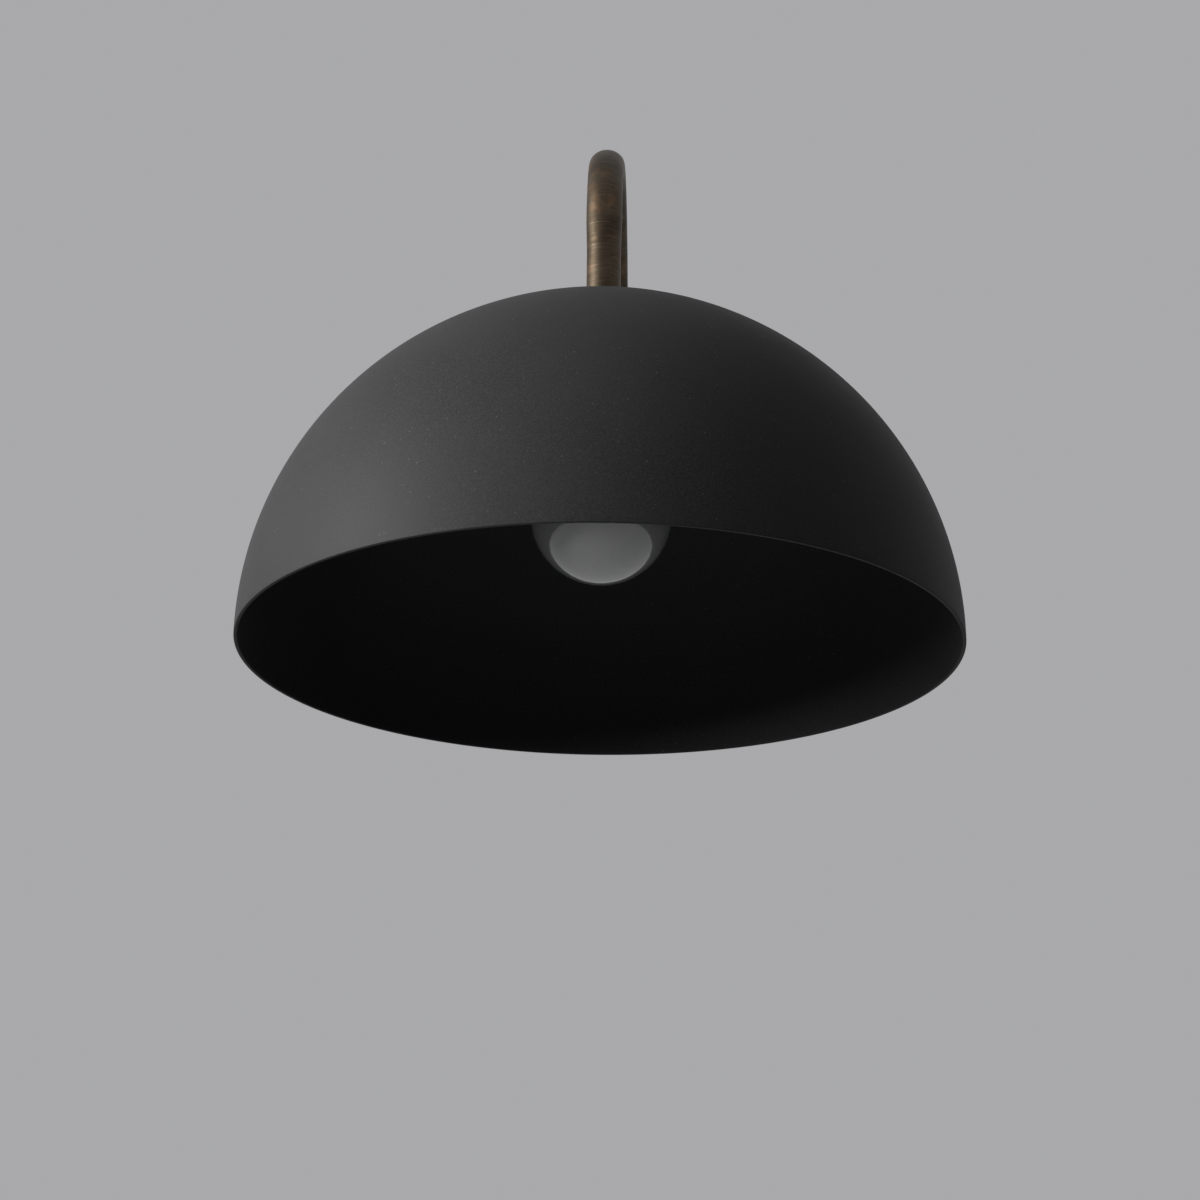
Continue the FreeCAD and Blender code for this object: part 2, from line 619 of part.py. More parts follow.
def terminal_sleeves():
    hole_radius = CLAMP_SCREW_RADIUS + THREAD_CLEARANCE
    sleeve_top = SLEEVE_DEPTH + SLEEVE_RADIUS
    holes = [cylinder(hole_radius, SLEEVE_DEPTH, sleeve_top, x, z) for x, z in clamp_places()]
    sleeves = []
    for x in POLE_XS:
        low = Vector(x, BLOCK_FOOT_Z + SLEEVE_INSET, SLEEVE_DEPTH)
        high = Vector(x, BLOCK_TOP_Z - SLEEVE_INSET, SLEEVE_DEPTH)
        bore = bar(SLEEVE_RADIUS - SLEEVE_WALL, low, high)
        sleeves.append(on_wall(bar(SLEEVE_RADIUS, low, high).cut([bore] + holes)))
    return Part.makeCompound(sleeves)


def terminal_screws():
    """Clamping screws: thin thread through the sleeve down to the lead, slotted head in the tower."""
    wire_top = SLEEVE_DEPTH + WIRE_RADIUS + PRESS_CLEARANCE
    seat = SLEEVE_DEPTH + SLEEVE_RADIUS
    head_height = BLOCK_BACK + BLOCK_HEIGHT - CLAMP_HEAD_DROP - seat
    screws = []
    for x, z in clamp_places():
        one = screw(CLAMP_SCREW_RADIUS, seat - wire_top, CLAMP_HEAD_RADIUS, head_height)
        one.translate(Vector(x, z, seat))
        screws.append(on_wall(one))
    return Part.makeCompound(screws)


def block_screw():
    one = screw(BLOCK_SCREW_RADIUS, BLOCK_BASE_HEIGHT + BRACKET_SHEET,
                BLOCK_SCREW_HEAD_RADIUS, BLOCK_SCREW_HEAD_HEIGHT)
    one.translate(Vector(0, BLOCK_CENTRE_Z, BLOCK_BACK + BLOCK_BASE_HEIGHT))
    return on_wall(one)


# Leads from the terminal block through the tube to the lamp holder

def lead(side):
    """One lead, kept to its own side of the tube all the way."""
    x = side * WIRE_X
    rear_y = -REACH + 2 * HOOK_BEND_RADIUS
    hook_top = HOOK_START + HOOK_BEND_RADIUS - BRACKET_LEVEL
    wire_level = WEB_TOP + CONTACT_SHEET + PRESS_CLEARANCE + WIRE_RADIUS - BRACKET_LEVEL
    pole_x = side * POLE_SPACING / 2
    points = [
        Vector(side * TERMINAL_WIRE_END_X, -REACH, wire_level),
        Vector(x, -REACH, wire_level),
        Vector(x, -REACH, hook_top),
        Vector(x, rear_y, hook_top),
        Vector(x, rear_y, 0),
        Vector(x, -SLEEVE_DEPTH, 0),
        Vector(pole_x, -SLEEVE_DEPTH, BLOCK_BEND_Z),
        Vector(pole_x, -SLEEVE_DEPTH, BLOCK_TOP_Z - BLOCK_WIRE_GRIP),
    ]
    radii = [HOLDER_BEND_RADIUS, HOOK_BEND_RADIUS, HOOK_BEND_RADIUS, ELBOW_BEND_RADIUS,
             BLOCK_BEND_RADIUS, BLOCK_BEND_RADIUS]
    return rod_along(points, radii, WIRE_RADIUS)


# Shade and its clamping

def shade():
    inner_radius = SHADE_RADIUS - SHADE_SHEET
    land_angle = 90 - degrees(asin(SHADE_LAND_RADIUS / SHADE_RADIUS))
    inner_land_angle = degrees(asin(LAND_INNER / inner_radius))
    inner_land_radius = inner_radius * cos(radians(inner_land_angle))
    body = turned(
        (SHADE_RADIUS, 0), arc((0, 0), SHADE_RADIUS, 0, land_angle), (NIPPLE_HOLE_RADIUS, LAND_OUTER),
        (NIPPLE_HOLE_RADIUS, LAND_INNER), (inner_land_radius, LAND_INNER),
        arc((0, 0), inner_radius, inner_land_angle, 0))
    rim = [e for e in body.Edges if e.BoundBox.ZMax < SAME_PLACE and e.BoundBox.XLength > inner_radius]
    return in_shade(body.makeFillet(RIM_ROUNDING, rim))


def shade_nipple():
    return in_shade(nipple(HOLDER_CEILING, TUBE_FOOT + NIPPLE_GRIP))


def shade_washer():
    return in_shade(ring(SHADE_WASHER_RADIUS, NIPPLE_HOLE_RADIUS, NUT_TOP, LAND_INNER))


# Lamp holder

def holder_cap():
    inner_radius = HOLDER_RADIUS - HOLDER_WALL
    shoulder = (HOLDER_RADIUS - HOLDER_SHOULDER_RADIUS, HOLDER_TOP - HOLDER_SHOULDER_RADIUS)
    return in_shade(turned(
        (HOLDER_RADIUS, CAP_EDGE), (HOLDER_RADIUS, shoulder[1]),
        arc(shoulder, HOLDER_SHOULDER_RADIUS, 0, 90),
        (NIPPLE_THREAD_RADIUS, HOLDER_TOP), (NIPPLE_THREAD_RADIUS, HOLDER_CEILING),
        (inner_radius, HOLDER_CEILING), (inner_radius, CAP_EDGE)))


def holder_skirt():
    """Shell that screws into the cap, with a ledge under the insert and an open mouth below."""
    thread_radius = HOLDER_RADIUS - HOLDER_WALL - THREAD_CLEARANCE
    bore = INSERT_RADIUS + SEAT_CLEARANCE
    throat = bore - SKIRT_LEDGE
    thread_top = CAP_EDGE + SKIRT_THREAD_LENGTH
    return in_shade(turned(
        (throat, HOLDER_MOUTH), (HOLDER_RADIUS, HOLDER_MOUTH), (HOLDER_RADIUS, CAP_EDGE),
        (thread_radius, CAP_EDGE), (thread_radius, thread_top), (bore, thread_top), (bore, INSERT_LEDGE),
        (throat, INSERT_LEDGE)))


def strip_slot(x):
    """Cut in the insert's web for a bent contact strip."""
    half = CONTACT_WIDTH / 2 + SEAT_CLEARANCE
    return box((x - CONTACT_SHEET / 2 - SEAT_CLEARANCE, CONTACT_OFFSET - half, WEB_UNDERSIDE),
               (x + CONTACT_SHEET / 2 + SEAT_CLEARANCE, CONTACT_OFFSET + half, WEB_TOP))


def terminal_places():
    """Screw axes beside the two leads."""
    return [(side * TERMINAL_X, -(TERMINAL_SCREW_RADIUS + WIRE_RADIUS + SEAT_CLEARANCE))
            for side in (LINE_SIDE, NEUTRAL_SIDE)]


def holder_insert():
    """Ceramic cup: a rim under the cap, a web with slots for the strips, a foot on the skirt's ledge."""
    rim_inner = INSERT_RADIUS - INSERT_RIM
    foot_inner = SHELL_BORE_RADIUS + SHELL_SHEET + SEAT_CLEARANCE
    body = turned(
        (0, WEB_UNDERSIDE), (foot_inner, WEB_UNDERSIDE), (foot_inner, INSERT_LEDGE),
        (INSERT_RADIUS, INSERT_LEDGE), (INSERT_RADIUS, HOLDER_CEILING), (rim_inner, HOLDER_CEILING),
        (rim_inner, WEB_TOP), (0, WEB_TOP))
    cuts = [strip_slot(-CONTACT_SLOT_X), strip_slot(SHELL_TAB_X)]
    for x, y in terminal_places():
        cuts.append(cylinder(TERMINAL_SCREW_RADIUS + THREAD_CLEARANCE, WEB_UNDERSIDE, WEB_TOP, x, y))
    return in_shade(body.cut(cuts))


def strip(face):
    """Contact strip: a side outline given the strips' width."""
    body = face.extrude(Vector(0, CONTACT_WIDTH, 0))
    body.translate(Vector(0, CONTACT_OFFSET - CONTACT_WIDTH / 2, 0))
    return body


def terminal_holes():
    return [cylinder(TERMINAL_SCREW_RADIUS + THREAD_CLEARANCE, WEB_UNDERSIDE, HOLDER_CEILING, x, y)
            for x, y in terminal_places()]


def centre_contact():
    """Spring strip: lug on the web, down through its slot, dipping under the web to meet the bulb."""
    half = CONTACT_SHEET / 2
    slot_out, slot_in = -CONTACT_SLOT_X - half, -CONTACT_SLOT_X + half
    flat = CONTACT_FLAT_X
    under = WEB_UNDERSIDE
    dip = under - CONTACT_DIP
    face = outline(
        (-CONTACT_END_X, WEB_TOP), (slot_out, WEB_TOP), (slot_out, under - CONTACT_SHEET),
        (-flat, dip), (flat, dip), (CONTACT_TIP_X, dip + CONTACT_TIP_RISE),
        (CONTACT_TIP_X, dip + CONTACT_TIP_RISE + CONTACT_SHEET), (flat, dip + CONTACT_SHEET),
        (-flat, dip + CONTACT_SHEET), (slot_in, under), (slot_in, WEB_TOP + CONTACT_SHEET),
        (-CONTACT_END_X, WEB_TOP + CONTACT_SHEET))
    return in_shade(strip(face).cut(terminal_holes()))


def screw_shell():
    """Plain shell for the bulb's cap, flanged under the web, with a tab up to the neutral screw."""
    outer = SHELL_BORE_RADIUS + SHELL_SHEET
    low = WEB_UNDERSIDE - SHELL_LENGTH
    flange_low = WEB_UNDERSIDE - SHELL_SHEET
    shell = turned(
        (SHELL_BORE_RADIUS, low), (outer, low), (outer, WEB_UNDERSIDE),
        (SHELL_EYE_RADIUS, WEB_UNDERSIDE), (SHELL_EYE_RADIUS, flange_low),
        (SHELL_BORE_RADIUS, flange_low))
    half = CONTACT_SHEET / 2
    tab_out, tab_in = SHELL_TAB_X + half, SHELL_TAB_X - half
    tab_top = WEB_TOP + CONTACT_SHEET
    tab = strip(outline(
        (tab_in, flange_low), (tab_out, flange_low), (tab_out, tab_top), (SHELL_TAB_END_X, tab_top),
        (SHELL_TAB_END_X, WEB_TOP), (tab_in, WEB_TOP)))
    return in_shade(joined(shell, tab.cut(terminal_holes())))


def holder_terminal_screws():
    seat = WEB_TOP + CONTACT_SHEET + PRESS_CLEARANCE + 2 * WIRE_RADIUS + PRESS_CLEARANCE
    shank = seat - WEB_UNDERSIDE
    screws = []
    for x, y in terminal_places():
        one = screw(TERMINAL_SCREW_RADIUS, shank, TERMINAL_HEAD_RADIUS, TERMINAL_HEAD_HEIGHT)
        one.translate(Vector(x, y, seat))
        screws.append(in_shade(one))
    return Part.makeCompound(screws)


# Bulb

def bulb_glass():
    """Ball and neck joined by a hollow curve, all of one wall."""
    ball = BULB_RADIUS
    neck = BULB_NECK_RADIUS
    cove = (neck**2 + BULB_NECK_DROP**2 - ball**2) / (2 * (ball - neck))
    lean = degrees(asin(BULB_NECK_DROP / hypot(neck + cove, BULB_NECK_DROP)))
    ball_centre = (0, BALL_CENTRE)
    cove_centre = (neck + cove, NECK_END)
    top = BULB_CAP_RIM + BULB_NECK_HIDDEN
    inner_ball, inner_cove = ball - BULB_GLASS, cove + BULB_GLASS
    outer_tip, inner_tip = BALL_CENTRE - ball, BALL_CENTRE - inner_ball
    return in_shade(turned(
        (0, outer_tip), arc(ball_centre, ball, -90, lean), arc(cove_centre, cove, 180 + lean, 180),
        (neck, top), (neck - BULB_GLASS, top), (neck - BULB_GLASS, NECK_END),
        arc(cove_centre, inner_cove, 180, 180 + lean),
        arc(ball_centre, inner_ball, lean, -90), (0, inner_tip)))


def bulb_cap():
    """Cap shell with a coned end that stops short of the end contact."""
    outer, inner = BULB_CAP_RADIUS, BULB_CAP_RADIUS - BULB_CAP_SHEET
    shoulder = BULB_TOP - BULB_CAP_SHOULDER
    crown = BULB_TOP - BULB_INSULATOR_HEIGHT
    crown_inside = crown - BULB_CAP_SHEET
    return in_shade(turned(
        (inner, BULB_CAP_RIM), (outer, BULB_CAP_RIM), (outer, shoulder), (BULB_INSULATOR_RADIUS, crown),
        (BULB_CAP_EYE_RADIUS, crown), (BULB_CAP_EYE_RADIUS, crown_inside),
        (BULB_INSULATOR_RADIUS - BULB_CAP_SHEET, crown_inside), (inner, shoulder - BULB_CAP_SHEET)))


def bulb_insulator():
    crown = BULB_TOP - BULB_INSULATOR_HEIGHT
    low = crown - BULB_CAP_SHEET
    top = BULB_TOP - BULB_CONTACT_HEIGHT
    return in_shade(turned(
        (0, low), (BULB_CAP_EYE_RADIUS, low), (BULB_CAP_EYE_RADIUS, crown),
        (BULB_INSULATOR_RADIUS, crown), (BULB_CONTACT_RADIUS, top), (0, top)))


def bulb_contact():
    low = BULB_TOP - BULB_CONTACT_HEIGHT
    rounding = BULB_CONTACT_HEIGHT / 2
    return in_shade(turned(
        (0, low), (BULB_CONTACT_RADIUS, low), (BULB_CONTACT_RADIUS, BULB_TOP - rounding),
        arc((BULB_CONTACT_RADIUS - rounding, BULB_TOP - rounding), rounding, 0, 90), (0, BULB_TOP)))


def bulb_stem():
    """Glass stem that flares onto the neck's inside."""
    top = BULB_CAP_RIM + BULB_NECK_HIDDEN
    flare_end = top - STEM_FLARE_HEIGHT
    return in_shade(turned(
        (0, top - STEM_LENGTH), (STEM_RADIUS, top - STEM_LENGTH), (STEM_RADIUS, flare_end),
        (STEM_FLARE_RADIUS, top), (0, top)))


def bulb_filaments():
    """Straight light-giving rods, spread like a tent below the stem, rooted on its end face."""
    top = BULB_CAP_RIM + BULB_NECK_HIDDEN - STEM_LENGTH + FILAMENT_RADIUS
    foot = top - sqrt(FILAMENT_LENGTH**2 - (FILAMENT_FOOT_SPREAD - FILAMENT_TOP_SPREAD)**2)
    rods = []
    for i in range(FILAMENT_COUNT):
        turn = 2 * pi * (i + 0.5) / FILAMENT_COUNT
        out = Vector(cos(turn), sin(turn), 0)
        start = out * FILAMENT_TOP_SPREAD + Vector(0, 0, top)
        end = out * FILAMENT_FOOT_SPREAD + Vector(0, 0, foot)
        rods.append(in_shade(bar(FILAMENT_RADIUS, start, end)).cut(bulb_stem()))
    return Part.makeCompound(rods)


PIECES = {
    "wall_bracket": wall_bracket,
    "ground_screw": ground_screw,
    "terminal_block": terminal_block,
    "terminal_sleeves": terminal_sleeves,
    "terminal_screws": terminal_screws,
    "block_screw": block_screw,
    "canopy": canopy,
    "canopy_screws": canopy_screws,
    "wall_collar": lambda: on_wall(collar(), CANOPY_DEPTH),
    "wall_nipple": wall_nipple,
    "ground_lug": ground_lug,
    "ground_lead": ground_lead,
    "wall_lock_washer": wall_lock_washer,
    "wall_lock_nut": wall_lock_nut,
    "arm_tube": arm_tube,
    "tube_bushes": tube_bushes,
    "line_wire": lambda: lead(LINE_SIDE),
    "neutral_wire": lambda: lead(NEUTRAL_SIDE),
    "shade_collar": lambda: in_shade(collar(), LAND_OUTER),
    "shade": shade,
    "shade_nipple": shade_nipple,
    "shade_washer": shade_washer,
    "shade_lock_nut": lambda: in_shade(lock_nut(), HOLDER_TOP),
    "holder_cap": holder_cap,
    "holder_skirt": holder_skirt,
    "holder_insert": holder_insert,
    "screw_shell": screw_shell,
    "centre_contact": centre_contact,
    "holder_terminal_screws": holder_terminal_screws,
    "bulb_glass": bulb_glass,
    "bulb_cap": bulb_cap,
    "bulb_insulator": bulb_insulator,
    "bulb_contact": bulb_contact,
    "bulb_stem": bulb_stem,
    "bulb_filaments": bulb_filaments,
}

os.makedirs("parts", exist_ok=True)
for name, build in PIECES.items():
    build().exportStep(f"parts/{name}.step")
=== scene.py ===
import json
from math import asin, cos, degrees, hypot, pi, radians, sin, sqrt

import bmesh
import bpy
from mathutils import Matrix, Vector

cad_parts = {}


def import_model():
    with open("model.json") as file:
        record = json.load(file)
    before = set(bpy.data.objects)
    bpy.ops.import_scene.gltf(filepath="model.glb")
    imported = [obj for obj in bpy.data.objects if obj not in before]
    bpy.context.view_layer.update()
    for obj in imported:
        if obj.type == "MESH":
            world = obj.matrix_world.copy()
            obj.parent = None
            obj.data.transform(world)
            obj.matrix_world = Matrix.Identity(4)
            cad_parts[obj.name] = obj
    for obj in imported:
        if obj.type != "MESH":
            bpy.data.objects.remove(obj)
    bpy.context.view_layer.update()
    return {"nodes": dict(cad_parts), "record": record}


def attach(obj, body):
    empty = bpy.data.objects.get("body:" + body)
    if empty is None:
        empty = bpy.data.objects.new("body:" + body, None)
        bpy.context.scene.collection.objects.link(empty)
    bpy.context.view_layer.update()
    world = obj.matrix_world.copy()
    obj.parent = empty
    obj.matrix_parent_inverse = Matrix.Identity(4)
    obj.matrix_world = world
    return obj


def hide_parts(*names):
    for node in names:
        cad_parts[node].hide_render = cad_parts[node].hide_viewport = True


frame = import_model()

MM = 0.001
SHARP_DEGREES = 32        # an edge that turns more is drawn sharp

# Places in the row frame and sizes, in millimetres, as the solids have them
REACH = 199.4
BRACKET_LEVEL = 114.958
SHADE_RADIUS = 152.5
SHADE_SHEET = 1.5
RIM_ROUNDING = 0.4
LAND_OUTER = 151.658
LAND_INNER = 150.158
TUBE_RADIUS = 7.5
TUBE_WALL = 1.2
HOOK_START = 194.058
HOOK_BEND_RADIUS = 57.2
ELBOW_BEND_RADIUS = 38.0
OVAL_WIDTH = 1.06
OVAL_DEPTH = 0.92
OVAL_RAMP = 11.0
COLLAR_WEB = 3.0
COLLAR_HEIGHT = 12.0
COLLAR_BORE = 7.6
COLLAR_LIP_RADIUS = 8.9
COLLAR_FOOT_RADIUS = 13.5
COLLAR_FOOT_HEIGHT = 3.0
CANOPY_RADIUS = 60.0
CANOPY_DEPTH = 22.0
CANOPY_SHEET = 1.5
CANOPY_CORNER_RADIUS = 5.0
CANOPY_SCREW_HEIGHT = 11.0
NIPPLE_RADIUS = 4.85
NIPPLE_BORE_RADIUS = 3.4
NIPPLE_HOLE_RADIUS = 5.15
NIPPLE_GRIP = 8.0
PIPE_PITCH = 1.0
LOCK_NUT_FLATS = 14.0
LOCK_NUT_THICKNESS = 3.0
WASHER_RADIUS = 8.0
SHADE_WASHER_RADIUS = 13.0
SHADE_WASHER_THICKNESS = 1.0
WALL_NUT_BACK = 15.9
LOCK_WASHER_THICKNESS = 0.8
HOLDER_RADIUS = 19.5
HOLDER_WALL = 1.5
HOLDER_SHOULDER_RADIUS = 3.0
HOLDER_TOP = 146.158
HOLDER_CEILING = 144.158
CAP_EDGE = 137.058
HOLDER_MOUTH = 109.558
SKIRT_THREAD_TOP = 143.358
SKIRT_BORE = 15.3
SKIRT_THROAT = 14.3
INSERT_LEDGE = 134.958
WEB_TOP = 139.858
WEB_UNDERSIDE = 137.158
SHELL_BORE_RADIUS = 13.45
SHELL_SHEET = 0.4
SHELL_LENGTH = 22.5
SHELL_EYE_RADIUS = 8.2
LAMP_PITCH = 3.63
BULB_RADIUS = 30.25
BALL_CENTRE = 61.658
BULB_NECK_DROP = 46.3
BULB_NECK_RADIUS = 12.6
BULB_GLASS = 1.0
BULB_CAP_RIM = 111.358
BULB_TOP = 135.358
BULB_SEAT_RADIUS = 12.1
BULB_SEAT_TOP = 119.358
TERMINAL_X = 8.8
TERMINAL_Y = -2.5
TERMINAL_SEAT = 142.458
POLE_X = 6.0
CLAMP_HEIGHTS = (-27.5, -19.5)
SLEEVE_TOP = 9.4

SHADE_PLACE = Matrix.Translation(Vector((0, -REACH, -BRACKET_LEVEL)) * MM)
# A frame lying on the wall: its Z points out towards the room, its Y points up
WALL_PLACE = Matrix.Rotation(radians(90), 4, "X")


# Meshes

def arc(cx, cz, radius, start, end, steps):
    """Points of an arc as radius and height, angles in degrees, both ends included."""
    angles = [radians(start + (end - start) * i / steps) for i in range(steps + 1)]
    return [(cx + radius * cos(a), cz + radius * sin(a)) for a in angles]


def circle(radius, z, segments):
    return [Vector((radius * cos(2 * pi * j / segments), radius * sin(2 * pi * j / segments), z))
            for j in range(segments)]


def turned_rings(profile, segments):
    return [circle(r, z, segments) for r, z in profile]


def add_rings(bm, rings, loop, place, straight=None):
    """Skins rings of equal length. Each vertex also keeps where it lay before the part was bent or placed."""
    layer = bm.verts.layers.float_vector.get("straight") or bm.verts.layers.float_vector.new("straight")
    rows = []
    for i, ring in enumerate(rings):
        row = []
        for j, point in enumerate(ring):
            vert = bm.verts.new(place @ (point * MM))
            vert[layer] = (straight[i][j] if straight else point) * MM
            row.append(vert)
        rows.append(row)
    count = len(rings[0])
    pairs = list(zip(rows, rows[1:]))
    if loop:
        pairs.append((rows[-1], rows[0]))
    for low, high in pairs:
        for j in range(count):
            k = (j + 1) % count
            bm.faces.new((low[j], low[k], high[k], high[j]))
    for row in () if loop else (rows[0], rows[-1]):
        if (row[0].co - row[count // 2].co).length > 1e-7:
            bm.faces.new(row if row is rows[-1] else row[::-1])


def finish_mesh(name, bm, sharp_degrees=SHARP_DEGREES):
    bmesh.ops.remove_doubles(bm, verts=bm.verts, dist=2e-7)
    bmesh.ops.recalc_face_normals(bm, faces=bm.faces)
    mesh = bpy.data.meshes.new(name)
    bm.to_mesh(mesh)
    bm.free()
    mesh.polygons.foreach_set("use_smooth", [True] * len(mesh.polygons))
    mesh.set_sharp_from_angle(angle=radians(sharp_degrees))
    piece = bpy.data.objects.new(name, mesh)
    bpy.context.scene.collection.objects.link(piece)
    return piece


def turned(name, profile, place, segments=128, loop=True):
    bm = bmesh.new()
    add_rings(bm, turned_rings(profile, segments), loop, place)
    return finish_mesh(name, bm)


def carved(piece, cutters):
    """The piece with the cutters taken away for good."""
    for cutter in cutters:
        modifier = piece.modifiers.new("cut", "BOOLEAN")
        modifier.operation = "DIFFERENCE"
        modifier.solver = "EXACT"
        modifier.object = cutter
    graph = bpy.context.evaluated_depsgraph_get()
    mesh = bpy.data.meshes.new_from_object(piece.evaluated_get(graph))
    piece.modifiers.clear()
    piece.data = mesh
    mesh.polygons.foreach_set("use_smooth", [True] * len(mesh.polygons))
    mesh.set_sharp_from_angle(angle=radians(SHARP_DEGREES))
    for cutter in cutters:
        bpy.data.objects.remove(cutter)
    return piece


def thread_height(phase, flat=0.14):
    """Rounded thread form, from 0 at the root to 1 at the crest, over one turn of phase."""
    rise = abs(2 * (phase % 1) - 1)
    blend = min(max((rise - flat) / (1 - 2 * flat), 0), 1)
    return blend * blend * (3 - 2 * blend)


def thread_rings(root, crest, pitch, low, high, segments, per_turn=8, phase=0.0):
    """Rings of a helical thread between two heights, running out to the root over a pitch at both ends."""
    count = max(2, round(abs(high - low) / pitch * per_turn))
    rings = []
    for i in range(count + 1):
        z = low + (high - low) * i / count
        run_out = min(1, abs(z - low) / pitch, abs(high - z) / pitch)
        ring = []
        for j in range(segments):
            turn = 2 * pi * j / segments
            radius = root + (crest - root) * thread_height(z / pitch - j / segments + phase) * run_out
            ring.append(Vector((radius * cos(turn), radius * sin(turn), z)))
        rings.append(ring)
    return rings


def skinned(name, rings, place, loop=True):
    bm = bmesh.new()
    add_rings(bm, rings, loop, place)
    return finish_mesh(name, bm)


def joined(name, pieces):
    """One piece of several meshes that don't overlap."""
    bm = bmesh.new()
    for piece in pieces:
        bm.from_mesh(piece.data)
        bpy.data.objects.remove(piece)
    return finish_mesh(name, bm)


def prism(name, outline, low, high, place):
    """Outline in X and Z, drawn out along Y."""
    return skinned(name, [[Vector((x, y, z)) for x, z in outline] for y in (low, high)], place, False)


def shifted(rings, step):
    """The rings moved out from the axis by a step, or in where it is negative."""
    return [[Vector((p.x, p.y, 0)) * (1 + step / hypot(p.x, p.y)) + Vector((0, 0, p.z)) for p in ring]
            for ring in rings]


def placed(place, x, y, z):
    return place @ Matrix.Translation(Vector((x, y, z)) * MM)


def screws(name, places, shank_radius, shank_length, head_radius, head_height, pitch):
    """Slotted screws with rounded heads on z = 0 of each place, threaded shanks below."""
    root = 0.82 * shank_radius
    rounding = 0.4 * min(head_height, head_radius)
    rings = turned_rings([(0, -shank_length), (0.8 * root, -shank_length), (root, 0.25 * pitch - shank_length)], 40)
    rings += thread_rings(root, shank_radius, pitch, 0.3 * pitch - shank_length, -0.05, 40)
    head = [(root, 0), (head_radius - 0.1, 0), (head_radius, 0.1)]
    head += arc(head_radius - rounding, head_height - rounding, rounding, 0, 90, 8) + [(0, head_height)]
    rings += turned_rings(head, 40)
    half_slot, floor = 0.2 * head_radius, 0.6 * head_height
    side = head_radius + 1
    slot = [(-side, floor), (side, floor), (side, head_height + 1), (-side, head_height + 1)]
    made = []
    for place in places:
        one = skinned(name, rings, place, False)
        made.append(carved(one, [prism("slot", slot, -half_slot, half_slot, place)]))
    return joined(name, made)


def threaded_pipe(name, low, high, place):
    root, bore, edge = 4.4, NIPPLE_BORE_RADIUS, 0.3
    rings = turned_rings([(bore + edge, low), (root, low + edge)], 64)
    rings += thread_rings(root, NIPPLE_RADIUS, PIPE_PITCH, low + edge, high - edge, 64)
    rings += turned_rings([(root, high - edge), (bore + edge, high), (bore, high - edge), (bore, low + edge)], 64)
    return skinned(name, rings, place)


def lock_nut(name, place):
    """Hexagon nut with its corners chamfered on both faces and a threaded bore, from zero up."""
    segments, flat = 96, LOCK_NUT_FLATS / 2
    top, crest, root = LOCK_NUT_THICKNESS, 4.9, 5.3

    def hexagon(z):
        edge = min(z, top - z)
        ring = []
        for j in range(segments):
            turn = 2 * pi * j / segments
            side = flat / cos((turn % (pi / 3)) - pi / 6)
            radius = min(side, 0.97 * flat + edge * sqrt(3))
            ring.append(Vector((radius * cos(turn), radius * sin(turn), z)))
        return ring

    rings = [hexagon(z) for z in (0, 0.15, 0.3, 0.45, 0.6, 0.75, top - 0.75, top - 0.6, top - 0.45, top - 0.3,
                                  top - 0.15, top)]
    rings += turned_rings([(root + 0.2, top)], segments)
    rings += thread_rings(root, crest, PIPE_PITCH, top - 0.1, 0.1, segments)
    rings += turned_rings([(root + 0.2, 0)], segments)
    return skinned(name, rings, place)


def washer(name, outer, inner, low, high, place):
    edge = 0.15
    profile = [(inner, low), (outer - edge, low), (outer, low + edge), (outer, high - edge), (outer - edge, high),
               (inner, high)]
    return turned(name, profile, place, 96)


def toothed_washer(name, outer, inner, low, high, place):
    """Lock washer with small teeth all round."""
    teeth, depth, points = 14, 1.1, 12
    rings = []
    for radius, z in ((inner, low), (outer, low), (outer, high), (inner, high)):
        ring = []
        for j in range(teeth * points):
            turn = 2 * pi * j / (teeth * points)
            notch = depth if radius == outer and j % points in (0, 1, 2, 3) else 0.0
            ring.append(Vector(((radius - notch) * cos(turn), (radius - notch) * sin(turn), z)))
        rings.append(ring)
    return skinned(name, rings, place)


# Materials

def link(tree, source, target):
    tree.links.new(source, target)


